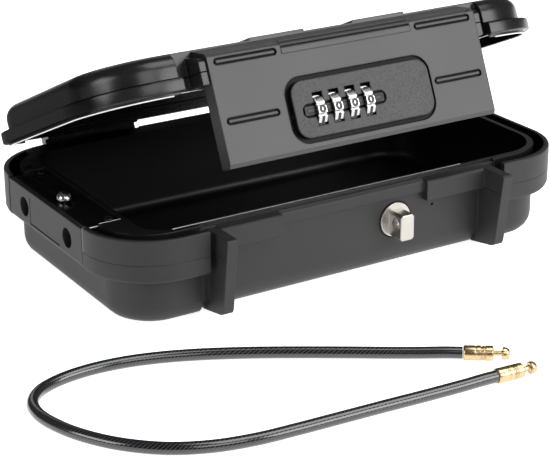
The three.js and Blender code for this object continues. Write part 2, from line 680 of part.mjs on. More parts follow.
// Anchor block with its sockets, the sliding plate, knob, cover and screws
function makeAnchor() {
  const halfThickness = slideThickness / 2
  const plateFront = socketYs[0] - keyholeRadius - slideEndMargin
  const plateRear = socketYs[1] + slideTravel + keyholeSlotWidth / 2 + slideEndMargin
  const coverTop = anchorTop - restGap
  const coverBottomZ = coverTop - coverThickness
  const bodyTop = coverBottomZ - restGap
  const corners = roundedOutline(-halfLength, anchorInnerX, anchorFrontY, anchorRearY, edgeRound)
  const coverSeat = block(-halfLength + coverRimWidth, anchorInnerX + throughCut, anchorFrontY - throughCut,
    anchorRearY + throughCut, bodyTop, anchorTop + throughCut)
  const slideChannel = block(slideX - halfThickness - slideClearance, slideX + halfThickness + slideClearance,
    plateFront - slideTravel - slideClearance, plateRear + slideClearance,
    slideBottom - slideClearance, anchorTop + throughCut)
  const sockets = socketYs.flatMap((y) => [
    rodX(-halfLength - throughCut, slideX, y, socketHeight, socketRadius),
    rodX(slideX, socketInnerEnd, y, socketHeight, socketInnerRadius)
  ])
  const lineEnds = [-halfLength - throughCut, -halfLength + panelLineDepth]
  const panelLines = [
    block(...lineEnds, panelLineRear, panelLineRear + panelLineWidth, panelLineBottom, panelLineTop),
    block(...lineEnds, panelLineFront, panelLineRear + panelLineWidth, panelLineBottom,
      panelLineBottom + panelLineWidth)
  ]
  const screwHoles = coverScrewPlaces.map(([x, y]) =>
    rodZ(x, y, bodyTop - coverScrewLength, bodyTop + throughCut, coverScrewShaftRadius + restGap, 16))
  const body = slab(corners, anchorBottom, anchorTop, 0, edgeRound / 2, 3)
  const edgeCut = bandBottomRound * cornerCut
  const edgeOutline = polygonOutline([
    [-halfLength - throughCut, anchorBottom - throughCut],
    [-halfLength + bandBottomRound, anchorBottom - throughCut],
    [-halfLength + bandBottomRound, anchorBottom],
    [-halfLength + edgeCut, anchorBottom + edgeCut],
    [-halfLength, anchorBottom + bandBottomRound],
    [-halfLength - throughCut, anchorBottom + bandBottomRound]
  ])
  const bottomEdge = barY(edgeOutline, anchorFrontY - throughCut, anchorRearY + throughCut)
  const anchorCuts = [coverSeat, slideChannel, bottomEdge, ...sockets, ...panelLines, ...screwHoles]
  addPart(safe, 'cable_anchor_block', cutBy(body, anchorCuts), charcoalPlastic)

  const plate = block(slideX - halfThickness, slideX + halfThickness, plateFront, plateRear,
    slideBottom, slideTop)
  const throughPlate = [slideX - slideThickness, slideX + slideThickness]
  const keyholes = socketYs.flatMap((y) => [
    rodX(...throughPlate, y, socketHeight, keyholeRadius, 24),
    rodX(...throughPlate, y + slideTravel, socketHeight, keyholeSlotWidth / 2, 16),
    block(...throughPlate, y, y + slideTravel, socketHeight - keyholeSlotWidth / 2,
      socketHeight + keyholeSlotWidth / 2)
  ])
  addPart(safe, 'cable_lock_slide', cutBy(plate, keyholes), steel)

  const stemBottom = slideTop + restGap
  const collarBottom = coverTop + restGap
  const domeBottom = collarBottom + knobCollarHeight
  const domePoints = Array.from({ length: knobDomeSteps }, (unused, index) => {
    const turn = (index / knobDomeSteps) * Math.PI / 2
    return [knobRadius * Math.cos(turn), domeBottom + knobRadius * Math.sin(turn)]
  })
  const knob = turnedOnZ([[0, stemBottom], [knobStemRadius, stemBottom], [knobStemRadius, collarBottom],
    [knobCollarRadius, collarBottom], [knobCollarRadius, domeBottom], ...domePoints,
    [0, domeBottom + knobRadius]])
  knob.translate(slideX, knobY, 0)
  addPart(safe, 'cable_lock_knob', solidFrom(knob), chrome)

  const coverOutline = roundedOutline(-halfLength + coverRimWidth + restGap, anchorInnerX,
    anchorFrontY, anchorRearY, edgeRound)
  const cover = slab(coverOutline, coverBottomZ, coverTop, 0, edgeRound / 2, 3)
  const knobSlot = block(slideX - knobSlotWidth / 2, slideX + knobSlotWidth / 2,
    knobY - slideTravel - knobSlotWidth / 2, knobY + knobSlotWidth / 2, coverBottomZ - 1, coverTop + 1)
  const coverHoles = coverScrewPlaces.map(([x, y]) =>
    rodZ(x, y, coverBottomZ - 1, coverTop + 1, coverScrewShaftRadius + restGap, 16))
  const coverLine = block(slideX - panelLineWidth / 2, slideX + panelLineWidth / 2,
    anchorFrontY + edgeRound, anchorRearY - edgeRound, coverTop - coverLineDepth, coverTop + 1)
  addPart(safe, 'anchor_cover', cutBy(cover, [knobSlot, coverLine, ...coverHoles]), blackPlastic)

  coverScrewPlaces.forEach(([x, y], index) => {
    const profile = screwProfile(coverScrewShaftRadius, coverScrewLength, coverScrewHeadRadius,
      coverScrewHeadHeight)
    const screw = turnedOnZ(profile, 16)
    screw.translate(x, y, coverTop + restGap)
    addPart(safe, `anchor_cover_screw_${index + 1}`, solidFrom(screw), steel)
  })
}

// Strike stud with its washer and nut inside the case
function makeStud() {
  const plateBack = frontWallY + studSeatDepth - restGap
  const plateFront = plateBack - studPlateThickness
  const plate = rodY(studX, plateFront, plateBack, studZ, studPlateRadius, 36)
  const outline = polygonOutline([
    [studLeft + studChamfer, studBottom], [studRight - studChamfer, studBottom],
    [studRight, studBottom + studChamfer], [studRight, studTop - studChamfer],
    [studRight - studChamfer, studTop], [studLeft + studChamfer, studTop],
    [studLeft, studTop - studChamfer], [studLeft, studBottom + studChamfer]
  ])
  const head = barY(outline, studTipY, plateFront + studPlateThickness, studTipBevel)
  const shaft = rodY(studX, plateFront, plateBack + studShaftLength, studZ, studShaftRadius)
  const eye = rodX(studLeft - 1, studRight + 1, studEyeY, studZ, studEyeRadius, 24)
  addPart(safe, 'strike_stud', cutBy(joined([plate, head, shaft]), [eye]), nickel)

  const washerFront = cavityFrontY + restGap
  const bore = studShaftRadius + threadClearance
  const washer = rodY(studX, washerFront, washerFront + washerThickness, studZ, washerRadius)
    .subtract(rodY(studX, washerFront - 1, washerFront + washerThickness + 1, studZ, bore))
  addPart(safe, 'strike_washer', washer, steel)
  const nutFront = washerFront + washerThickness + restGap
  const nut = rodY(studX, nutFront, nutFront + nutThickness, studZ, nutRadius, 6)
    .subtract(rodY(studX, nutFront - 1, nutFront + nutThickness + 1, studZ, bore))
  addPart(safe, 'strike_nut', nut, steel)
}

// Lid
function makeLid() {
  const insetOutline = (inset) => centredOutline(lidLength - 2 * inset, caseDepth - 2 * inset,
    lidCornerRadius - inset)
  const flange = slab(insetOutline(0), flangeBottom, flangeTop, edgeRound, edgeRound)
  const domeOutline = insetOutline(domeInset)
  const dome = slab(domeOutline, flangeBottom, lidTop, 0, domeRound)
  const pads = [-1, 1].map((side) => {
    const outline = roundedOutline(...spanOnSide(side, lidPadInner, lidPadOuter),
      frontWallY - lidPadCorner, lidPadRearY, lidPadCorner)
    return slab(outline, lidTop - weld, lidTop + lidPadHeight, 0, lidPadRound)
  })
  const innerInset = domeInset + lidWall
  const frontWallBack = frontWallY + lidFrontWallThickness
  const keepFrontWall = block(-lidNotchHalfWidth - lidWall, lidNotchHalfWidth + lidWall, -caseLength,
    frontWallBack, 0, caseLength)
  const upperHollow = slab(insetOutline(innerInset), flangeBottom - 1, lidTop - lidWall, 0,
    domeRound - lidWall)
  const lowerHollow = slab(insetOutline(lidRimWallThickness), flangeBottom - 1, lidPlateTop)
  const hollow = joined([upperHollow, lowerHollow]).subtract(keepFrontWall)
  const notch = block(-lidNotchHalfWidth, lidNotchHalfWidth, -caseLength, frontWallY, 0, caseLength)
  const rearGap = block(-rearReliefHalfWidth, rearReliefHalfWidth, rearReliefStart, caseLength,
    flangeBottom - 1, flangeBottom + rearRelief)

  const lipOutside = slab(insetOutline(lipOuterInset), flangeBottom - lipDepth, flangeBottom + 1)
  const lipInside = slab(insetOutline(lipOuterInset + lipThickness), flangeBottom - lipDepth - 1,
    flangeBottom + 2)
  const lip = cutBy(lipOutside, [lipInside,
    block(-caseLength, caseLength, lipRearEnd, caseLength, 0, caseLength),
    block(-lidNotchHalfWidth - 1, lidNotchHalfWidth + 1, -caseLength, 0, 0, caseLength)])

  const shell = cutBy(joined([flange, dome, ...pads]), [hollow, notch, rearGap])
  const shoulderProfile = polygonOutline([
    [shoulderFrontY, flangeBottom + restGap],
    [frontWallY + weld, flangeBottom + restGap],
    [frontWallY + weld, shoulderRootTop],
    [shoulderFrontY + shoulderChamfer, shoulderTop],
    [shoulderFrontY, shoulderTop - shoulderChamfer]
  ])
  const shoulders = [-1, 1].map((side) =>
    barX(shoulderProfile, ...spanOnSide(side, coverHalfWidth + restGap, shoulderOuter)))

  const leaves = []
  for (const [, x0, x1] of hingeSides) {
    leaves.push(block(x0, x1, leafFrontY, hingeY + knuckleRadius, flangeBottom + restGap, leafTop))
    leaves.push(block(x0, x1, armFrontY, hingeY + knuckleRadius, hingeZ + knuckleRadius + skirtGap, leafTop))
    for (const start of [x0, x1 - lidKnuckleLength]) {
      const end = start + lidKnuckleLength
      leaves.push(block(start, end, armFrontY, hingeY + knuckleRadius, hingeZ, armTop))
      leaves.push(rodX(start, end, hingeY, hingeZ, knuckleRadius))
    }
  }
  const pinHoles = hingeSides.map(([, x0, x1]) =>
    rodX(x0 - 1, x1 + 1, hingeY, hingeZ, hingePinRadius + restGap, 16))
  const screwHoles = coverScrewXs.map((x) => rodY(x, frontWallY - 2, frontWallBack + 2, coverScrewZ,
    lockScrewShaftRadius + restGap, 12))
  const lidShell = cutBy(joined([shell, lip, ...shoulders, ...leaves]), [...pinHoles, ...screwHoles])
  addPart(lidParts, 'lid_shell', lidShell, lidPlastic)

  for (const [side, x0, x1] of hingeSides) {
    addPart(lidParts, `hinge_pin_${side}`,
      rodX(x0 + hingePinInset, x1 - hingePinInset, hingeY, hingeZ, hingePinRadius, 16), steel)
  }
}

// Lock cover: flap face, side walls and the hood that meets the dome
function makeLockCover() {
  const backY = frontWallY - restGap
  const outer = [[coverFrontY, coverBottom + coverChamfer], [coverFrontY, coverFaceTop],
    [hoodShoulderY, hoodShoulderZ], [backY, hoodTopZ]]
  const inner = [[backY, hoodTopZ - coverWall], [hoodShoulderY + coverWall, hoodShoulderZ - coverWall],
    [coverFrontY + coverWall, coverFaceTop - 1], [coverFrontY + coverWall, coverBottom]]
  const bottomEdge = [coverFrontY + coverChamferDepth, coverBottom]
  const wall = barX(polygonOutline([bottomEdge, ...outer, ...inner]), -coverHalfWidth, coverHalfWidth)
  const sideProfile = polygonOutline([bottomEdge, ...outer, [backY, rimTop + coverWall],
    [coverSideBackY, rimTop], [coverSideBackY, coverBottom]])
  const sides = [-1, 1].map((side) =>
    barX(sideProfile, ...spanOnSide(side, coverHalfWidth - coverWall, coverHalfWidth)))

  const riseProfile = polygonOutline([
    [coverFrontY + weld, coverFaceTop - centreRiseHeight],
    [coverFrontY - centreRiseDepth, coverFaceTop - centreRiseHeight + centreRiseDepth / 2],
    [coverFrontY - centreRiseDepth, coverFaceTop],
    [hoodShoulderY, hoodShoulderZ + centreRiseTop],
    [hoodShoulderY + 2 * weld, hoodShoulderZ]
  ])
  const centreRise = barX(riseProfile, -centreRiseHalfWidth, centreRiseHalfWidth)

  const barGrooves = []
  const barCores = []
  const coreInset = (barHeight - barCoreHeight) / 2
  for (const [z, barInner] of [[lowerBarZ, lowerBarInner], [upperBarZ, upperBarInner]]) {
    for (const side of [-1, 1]) {
      const [x0, x1] = spanOnSide(side, barInner, barOuter)
      const grooveEdge = roundedOutline(x0, x1, z - barHeight / 2, z + barHeight / 2, barHeight * barEndShare)
      const coreEdge = roundedOutline(x0 + coreInset, x1 - coreInset, z - barCoreHeight / 2,
        z + barCoreHeight / 2, barCoreHeight * barEndShare)
      const grooveBack = coverFrontY + barGrooveDepth
      barGrooves.push(barY(grooveEdge, coverFrontY - throughCut, grooveBack))
      barCores.push(barY(coreEdge, coverFrontY, grooveBack + barCoreBevel, barCoreBevel))
    }
  }
  const bendGroove = (y, z, reach) => barX(polygonOutline([[y - bendGrooveWidth, z],
    [y, z - bendGrooveWidth], [y + bendGrooveWidth, z], [y, z + bendGrooveWidth]]), -reach, reach)
  const bendMiddleY = (coverFrontY + hoodShoulderY) / 2
  const bendMiddleZ = (coverFaceTop + hoodShoulderZ) / 2
  const hoodGrooves = [
    bendGroove(bendMiddleY, bendMiddleZ, bendGrooveEnd),
    bendGroove(coverFrontY - centreRiseDepth, coverFaceTop - riseGrooveDrop, centreRiseHalfWidth)
  ]
  const hoodSlots = [-1, 1].map((side) => block(...spanOnSide(side, hoodSlotInner, hoodSlotOuter),
    hoodShoulderY, hoodShoulderY + hoodSlotLength, hoodShoulderZ - bendGrooveWidth / 2, hoodTopZ))

  const grooveOutline = roundedOutline(panelMiddleX - panelWidth / 2 - panelGrooveWidth,
    panelMiddleX + panelWidth / 2 + panelGrooveWidth, panelMiddleZ - panelHeight / 2 - panelGrooveWidth,
    panelMiddleZ + panelHeight / 2 + panelGrooveWidth, panelCornerRadius + panelGrooveWidth)
  const panelSeat = barY(grooveOutline, coverFrontY - throughCut, panelSeatY)
  const spindleSlot = block(...spindleSlotEnds, coverFrontY - 1, coverFrontY + coverWall + 1,
    ...spindleSlotEdges)

  const insideY = coverFrontY + coverWall - weld
  const frameBosses = frameScrewPlaces.map(([x, z]) =>
    rodY(x, insideY, frameCupFloorY - frameWall - restGap, z, frameBossRadius, 16))
  const lidBosses = coverScrewXs.map((x) => rodY(x, insideY, backY, coverScrewZ, bossRadius, 16))
  const pilots = [
    ...frameScrewPlaces.map(([x, z]) => rodY(x, coverFrontY + coverWall, frameBackY, z,
      lockScrewShaftRadius + restGap, 12)),
    ...coverScrewXs.map((x) => rodY(x, backY - lidScrewLength, backY + 1, coverScrewZ,
      lockScrewShaftRadius + restGap, 12))
  ]
  const grooved = cutBy(joined([wall, ...sides, centreRise]), [...barGrooves, ...hoodGrooves, ...hoodSlots])
  const solid = joined([grooved, ...barCores, ...frameBosses, ...lidBosses])
  const cuts = [panelSeat, ...wheelSweeps, spindleSlot, ...pilots]
  addPart(lidParts, 'lock_cover', cutBy(solid, cuts), charcoalPlastic)
}

// Dial panel with its windows and the sunk stadium behind the wheels
function makeDialPanel() {
  const outline = roundedOutline(panelMiddleX - panelWidth / 2, panelMiddleX + panelWidth / 2,
    panelMiddleZ - panelHeight / 2, panelMiddleZ + panelHeight / 2, panelCornerRadius)
  const plate = barY(outline, panelFrontY, panelBackY, panelBevel)
  const stadiumOutline = roundedOutline(stadiumLeft, stadiumRight, stadiumMiddleZ - stadiumHeight / 2,
    stadiumMiddleZ + stadiumHeight / 2, stadiumEndRadius)
  const stadium = barY(stadiumOutline, panelFrontY - 1, panelFrontY + stadiumDepth)
  const windows = wheelXs.map((x) => block(x - wheelWidth / 2 - windowClearance,
    x + wheelWidth / 2 + windowClearance, panelFrontY - 1, panelBackY + 1, windowBottom, windowTop))
  addPart(lidParts, 'dial_panel', cutBy(plate, [stadium, ...windows, ...wheelSweeps]), charcoalPlastic)
}

// Dial wheels with one flat for each digit, and the clutch sleeves in their bores
function makeDials() {
  const flatHalfAngle = flatShare * Math.PI / digitCount
  const rim = []
  for (let digit = 0; digit < digitCount; digit += 1) {
    const middle = Math.PI + digit * 2 * Math.PI / digitCount
    for (const [offset, radius] of [[-flatHalfAngle, wheelRadius], [flatHalfAngle, wheelRadius],
      [Math.PI / digitCount, wheelRadius - wheelNotch]]) {
      rim.push([radius * Math.cos(middle + offset), radius * Math.sin(middle + offset)])
    }
  }
  const sleeveMargin = (wheelPitch - sleeveLength) / 2
  wheelXs.forEach((x, index) => {
    const wheel = barX(polygonOutline(rim), -wheelWidth / 2, wheelWidth / 2)
      .subtract(rodX(-wheelWidth, wheelWidth, 0, 0, wheelBore, 24))
    const wheelMesh = addPart(lidParts, `dial_wheel_${index + 1}`, wheel, chrome)
    wheelMesh.position.set(x, dialAxisY, dialAxisZ)
    const sleeveStart = -wheelPitch / 2 + sleeveMargin
    const sleeve = rodX(sleeveStart, sleeveStart + sleeveLength, 0, 0, sleeveRadius, 20)
      .subtract(rodX(-wheelPitch, wheelPitch, 0, 0, sleeveBore, 20))
    const sleeveMesh = addPart(lidParts, `dial_sleeve_${index + 1}`, sleeve, steel)
    sleeveMesh.position.set(x, dialAxisY, dialAxisZ)
  })
}

// Bolt: spindle through the dials, finger and pin that enters the eye of the stud
function makeBolt() {
  const spindle = rodX(spindleLeft, fingerRight, dialAxisY, dialAxisZ, spindleRadius, 16)
  const head = rodX(spindleLeft, spindleLeft + spindleHeadLength, dialAxisY, dialAxisZ,
    spindleHeadRadius, 16)
  const finger = block(fingerLeft, fingerRight, coverFrontY + coverWall + restGap, studEyeY + boltRadius,
    studZ - boltRadius, dialAxisZ + spindleRadius)
  const pin = rodX(fingerRight - weld, studLeft - boltTipGap, studEyeY, studZ, boltRadius, 20)
  addPart(lidParts, 'latch_bolt', joined([spindle, head, finger, pin]), steel)

  const coilStart = spindleLeft + spindleHeadLength + restGap + springWire
  const coilEnd = springWallX - restGap - springWire
  class Coil extends THREE.Curve {
    getPoint(share, target = new THREE.Vector3()) {
      const angle = share * springTurns * 2 * Math.PI
      const x = coilStart + share * (coilEnd - coilStart)
      const y = dialAxisY + springRadius * Math.cos(angle)
      return target.set(x, y, dialAxisZ + springRadius * Math.sin(angle))
    }
  }
  const section = new THREE.Shape()
  section.absarc(0, 0, springWire / 2, 0, Math.PI * 2)
  const wire = new THREE.ExtrudeGeometry(section, {
    steps: springTurns * springStepsPerTurn,
    extrudePath: new Coil(),
    curveSegments: 3,
    bevelEnabled: false
  })
  addPart(lidParts, 'bolt_spring', solidFrom(wire), springSteel)
}

// Lock frame that holds the mechanism behind the cover, its screws and the leaf spring
function makeLockFrame() {
  const inside = block(frameLeft + frameWall, frameRight - frameWall, frameFrontY - throughCut,
    frameBackY - frameWall, frameBottom + frameWall, frameTop - frameWall)
  const tray = block(frameLeft, frameRight, frameFrontY, frameBackY, frameBottom, frameTop).subtract(inside)
  const wallBack = frameBackY - frameWall / 2
  const springWall = block(springWallX, springWallX + springWallThickness, frameFrontY, wallBack,
    dialAxisZ - springWallHalfHeight, dialAxisZ + springWallHalfHeight)
  const slotLeft = studLeft - studSlotMargin
  const guideWall = block(slotLeft - guideWallThickness, slotLeft, frameFrontY, wallBack,
    frameBottom + frameWall / 2, studZ + guideWallRise)
  const studSlot = block(slotLeft, studRight + studSlotMargin, frameFrontY - 1,
    frameBackY + 1, frameBottom - 1, studTop + studSlotMargin)
  const wheelSlots = wheelXs.map((x) => block(x - wheelWidth / 2 - windowClearance,
    x + wheelWidth / 2 + windowClearance, frameBackY - 2 * frameWall, frameBackY + 1,
    dialAxisZ - wheelSlotHalfHeight, dialAxisZ + wheelSlotHalfHeight))
  const spindleHole = rodX(springWallX - 1, springWallX + frameWall + 1, dialAxisY, dialAxisZ,
    spindleRadius + boltClearance, 16)
  const pinHole = rodX(slotLeft - guideWallThickness - 1, slotLeft + 1, studEyeY, studZ,
    boltRadius + boltClearance, 20)
  const cups = frameScrewPlaces.map(([x, z]) =>
    rodY(x, frameCupFloorY - frameWall, frameBackY, z, frameCupRadius))
  const cupSeats = frameScrewPlaces.map(([x, z]) =>
    rodY(x, frameCupFloorY, frameBackY + 1, z, lockScrewHeadRadius + restGap, 16))
  const screwHoles = frameScrewPlaces.map(([x, z]) =>
    rodY(x, frameCupFloorY - 2 * frameWall, frameBackY + 1, z, lockScrewShaftRadius + restGap, 12))
  const pegY = frameBackY - frameWall
  const pegs = pegXs.map((x) => rodY(x, pegY - pegLength, pegY + frameWall / 2,
    leafSpringZ + leafSpringHeight / 2 + leafSpringThickness / 2, pegRadius, 12))
  addPart(lidParts, 'lock_frame', cutBy(joined([tray, springWall, guideWall, ...cups, ...pegs]),
    [studSlot, ...wheelSlots, spindleHole, pinHole, ...cupSeats, ...screwHoles]), blackPlastic)
}

// Leaf spring whose fingers click in the notches of the dials
function makeLeafSpring() {
  const backY = frameBackY - frameWall - restGap
  const flange = block(wheelXs[0] - wheelWidth / 2, lastWheelSide, backY - leafSpringThickness, backY,
    leafSpringZ, leafSpringZ + leafSpringHeight)
  const fingers = wheelXs.map((x) => block(x - leafFingerWidth / 2, x + leafFingerWidth / 2, frameFrontY,
    backY, leafSpringZ, leafSpringZ + leafSpringThickness))
  const pegHoles = pegXs.map((x) => rodY(x, backY - 1, backY + 1,
    leafSpringZ + leafSpringHeight / 2 + leafSpringThickness / 2, pegRadius + restGap, 12))
  addPart(lidParts, 'detent_spring', cutBy(joined([flange, ...fingers]), pegHoles), springSteel)
}

// A screw along Y whose head faces the back
function screwAlongY(length) {
  const profile = screwProfile(lockScrewShaftRadius, length, lockScrewHeadRadius, lockScrewHeadHeight)
  const geometry = turnedOnZ(profile, 14)
  geometry.rotateX(-Math.PI / 2)
  return solidFrom(geometry)
}

function makeLockScrews() {
  frameScrewPlaces.forEach(([x, z], index) => {
    const screw = addPart(lidParts, `frame_screw_${index + 1}`, screwAlongY(frameScrewLength), steel)
    screw.position.set(x, frameCupFloorY + restGap, z)
  })
  coverScrewXs.forEach((x, index) => {
    const screw = addPart(lidParts, `cover_screw_${index + 1}`, screwAlongY(lidScrewLength), steel)
    screw.position.set(x, frontWallY + lidFrontWallThickness + restGap, coverScrewZ)
  })
}

// Security cable with a crimped brass end at each side
function makeCable() {
  const points = cableRoute.map(([x, y, z]) => new THREE.Vector3(x, y, z))
  const route = new THREE.CatmullRomCurve3(points, false, 'centripetal')
  const section = new THREE.Shape()
  for (let side = 0; side < cableSides; side += 1) {
    const angle = (side + 0.5) * 2 * Math.PI / cableSides
    const corner = [cableDiameter / 2 * Math.cos(angle), cableDiameter / 2 * Math.sin(angle)]
    if (side === 0) section.moveTo(...corner)
    else section.lineTo(...corner)
  }
  section.closePath()
  const settings = { steps: cableSteps, extrudePath: route, bevelEnabled: false }
  const tube = new THREE.ExtrudeGeometry(section, settings)
  addPart(safe, 'security_cable', solidFrom(tube), cableSheath)

  const neckEnd = ferruleLength + ferruleNeckLength
  const headEnd = neckEnd + ferruleHeadLength
  const profile = [[0, 0], [ferruleRadius, 0], [ferruleRadius, ferruleLength],
    [ferruleNeckRadius, ferruleLength], [ferruleNeckRadius, neckEnd], [ferruleHeadRadius, neckEnd],
    [ferruleHeadRadius, (neckEnd + headEnd) / 2], [ferruleTipRadius, headEnd], [0, headEnd]]
  const ends = [
    ['cable_end_upper', points[0], route.getTangent(0).negate()],
    ['cable_end_lower', points[points.length - 1], route.getTangent(1)]
  ]
  for (const [name, place, outward] of ends) {
    const direction = new THREE.Vector3(outward.x, outward.y, 0).normalize()
    const end = addPart(safe, name, solidFrom(turnedOnZ(profile, 20)), brass)
    end.quaternion.setFromUnitVectors(new THREE.Vector3(0, 0, 1), direction)
    end.position.copy(place).addScaledVector(direction, restGap)
  }
}

makeCase()
makeAnchor()
makeStud()
makeLid()
makeLockCover()
makeDialPanel()
makeDials()
makeBolt()
makeLockFrame()
makeLeafSpring()
makeLockScrews()
makeCable()

export default safe
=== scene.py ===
"""Looks of a portable car safe: moulded plastic, dial lock, strike stud and a loose security cable.

Everything is in metres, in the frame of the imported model. Pieces of the lid are modelled with the lid shut,
and are then turned about the hinge line to the open rest pose.
"""
import math

import bmesh
import bpy
from bpy.props import FloatProperty, FloatVectorProperty, IntProperty, PointerProperty
from bpy.types import Operator, Panel, PropertyGroup
from mathutils import Matrix, Vector


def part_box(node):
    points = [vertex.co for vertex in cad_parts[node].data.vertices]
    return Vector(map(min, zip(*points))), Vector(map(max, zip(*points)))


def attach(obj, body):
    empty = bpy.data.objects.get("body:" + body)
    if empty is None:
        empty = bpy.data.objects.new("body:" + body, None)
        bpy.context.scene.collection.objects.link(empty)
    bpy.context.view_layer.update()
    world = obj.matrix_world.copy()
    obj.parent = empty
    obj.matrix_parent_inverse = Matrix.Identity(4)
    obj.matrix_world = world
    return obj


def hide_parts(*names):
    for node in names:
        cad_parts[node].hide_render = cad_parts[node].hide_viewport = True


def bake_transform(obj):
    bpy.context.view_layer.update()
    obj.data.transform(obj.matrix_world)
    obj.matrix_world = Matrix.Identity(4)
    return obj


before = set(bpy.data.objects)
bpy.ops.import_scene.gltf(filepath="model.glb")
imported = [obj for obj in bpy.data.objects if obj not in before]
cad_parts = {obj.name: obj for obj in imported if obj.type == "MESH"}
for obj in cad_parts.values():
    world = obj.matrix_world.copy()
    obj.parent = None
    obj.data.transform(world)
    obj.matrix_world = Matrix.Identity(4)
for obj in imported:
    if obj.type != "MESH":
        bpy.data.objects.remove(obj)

bl_info = {
    "name": "Portable car safe",
    "version": (1, 0, 0),
    "blender": (4, 5, 0),
    "location": "3D View > Sidebar > Car Safe",
    "description": "Dresses a portable car safe with its finishes, fine details and a studio",
    "category": "Object",
}

MM = 0.001

# The lid's hinge line and its angle at rest
HINGE = Vector((0, 71.6, 35.5)) * MM
OPEN_ANGLE = math.radians(24)

# Case outline: rim band and tub, as half sizes and corner radii, with the front recess and the cable anchor
BAND_HALF_LENGTH = 120 * MM
BAND_HALF_DEPTH = 70 * MM
BAND_CORNER = 31.5 * MM
BAND_WALL = 1.3 * MM
BAND_BOTTOM = 22.6 * MM
RIM_TOP = 42 * MM
GROOVE_FLOOR = 26.6 * MM
TUB_HALF_LENGTH = 112 * MM
TUB_HALF_DEPTH = 62 * MM
TUB_CORNER = 22 * MM
TUB_WALL = 1.2 * MM
TUB_FLOOR = 1.5 * MM
FRONT_WALL = -60.3 * MM
RECESS_HALF_WIDTH = 77.6 * MM
RIB_INNER = 69.2 * MM
ANCHOR_FRONT = -36.5 * MM
ANCHOR_WALL = -112 * MM

# Lines drawn on the case: the seam, painted shade under the band, and painted highlights on wall and anchor edges.
# A pair says from where to where.
SEAM_HEIGHT = 31 * MM
SEAM_WIDTH = 0.28 * MM
BAND_SHADOW = 3.5 * MM
RIM_EDGE = RIM_TOP - 0.3 * MM
WALL_EDGE = (-59.5 * MM, -58.2 * MM)
WALL_EDGE_REACH = (-89 * MM, 60 * MM)
ANCHOR_EDGE = ANCHOR_FRONT - 0.55 * MM
ANCHOR_EDGE_WIDTH = 0.4 * MM
ANCHOR_EDGE_END = 2 * MM - BAND_HALF_LENGTH

# Lid outline, and the painted shade in the groove where its dome stands on the flange and on the lid's ends
LID_HALF_LENGTH = 118.8 * MM
LID_HALF_DEPTH = 70 * MM
LID_CORNER = 36 * MM
LID_END = 110 * MM
LID_END_FADE = 4 * MM
LID_END_SHADE = 0.9
FLANGE_BOTTOM = 42.4 * MM
FLANGE_TOP = 47.9 * MM
DOME_GROOVE = (FLANGE_TOP + 0.05 * MM, FLANGE_TOP + 0.6 * MM)
NOTCH_HALF_WIDTH = 78.5 * MM
NOTCH_LINE = -61.3 * MM

# Painted highlight under the lid's flange, as a pale bead which ends before the hinges
LIP_INSET = 3.3 * MM
LIP_HEIGHT = FLANGE_BOTTOM - 1.15 * MM
LIP_THICKNESS = 0.7 * MM
LIP_FRONT = -66 * MM
LIP_BACK = 46 * MM

# Lock cover and dial panel, with its sunk stadium
COVER_FRONT = -74 * MM
COVER_SUNK = COVER_FRONT + 0.12 * MM
COVER_HALF_WIDTH = 67 * MM
COVER_SIDE = 68.25 * MM
COVER_FACE = (8.4 * MM, 53.2 * MM)
PANEL_FRONT = -76 * MM
PANEL_BEVEL = 0.5 * MM
STADIUM_LEFT = -30.3 * MM
STADIUM_RIGHT = 12 * MM
STADIUM_MIDDLE = 24 * MM
STADIUM_HEIGHT = 6 * MM
STADIUM_FLOOR = -75.1 * MM
STADIUM_MARGIN = 1.1 * MM
STADIUM_LINE = 2.1 * MM
STADIUM_LINE_WIDTH = 0.3 * MM
WINDOW_HALF_WIDTH = 2.5 * MM

# Dials and their digits, each on its own flat
DIAL_AXIS_Y = -70.6 * MM
DIAL_AXIS_Z = 23.6 * MM
DIAL_RADIUS = 7.6 * MM
DIAL_PLACES = [x * MM for x in (-21.7, -13.55, -5.4, 2.75)]
DIGITS = 10
DIGIT_SIZE = 4.2 * MM
DIGIT_BOLDNESS = 0.28 * MM
DIGIT_DEPTH = 0.03 * MM
DIGIT_WIDENING = 1.4
DIGIT_FLAT = DIAL_RADIUS * math.cos(0.66 * math.pi / DIGITS)

# Camera, solved from the photograph: 550 x 457 pixels
CAMERA_PLACE = Vector((-400.66, -653.61, 309.87)) * MM
CAMERA_YAW = math.radians(31.3)
CAMERA_PITCH = math.radians(21.8)
CAMERA_ROLL = math.radians(-0.5)
CAMERA_LENS = 113.75
CAMERA_SENSOR = 36

# Centre line of the security cable, as in the solids
CABLE_ROUTE = [
    (-8.9, -153.7, 3.1), (-14.2, -150, 3.1), (-22, -144.6, 2.8), (-31.5, -138.1, 2.55), (-46.1, -128.3, 2.5),
    (-63, -117.4, 2.5), (-80.2, -106.9, 2.5), (-98.5, -97.2, 2.5), (-113.2, -91.1, 2.5), (-128.5, -87, 2.5),
    (-144, -85.9, 2.5), (-157, -87.9, 2.5), (-167, -92.6, 2.5), (-173, -100.2, 2.5), (-174.7, -109.6, 2.5),
    (-172.7, -121.4, 2.5), (-167.5, -134.2, 2.5), (-158.6, -147.4, 2.5), (-146, -158.9, 2.5),
    (-132, -166, 2.5), (-116, -170, 2.5), (-98, -171.7, 2.5), (-80, -172.8, 2.5), (-62, -173.9, 2.5),
    (-45, -175.1, 2.5), (-33, -176, 2.6), (-23.5, -176.8, 2.85), (-16.5, -177.3, 3.1), (-11, -177.7, 3.1),
]
CABLE_STEPS = 10

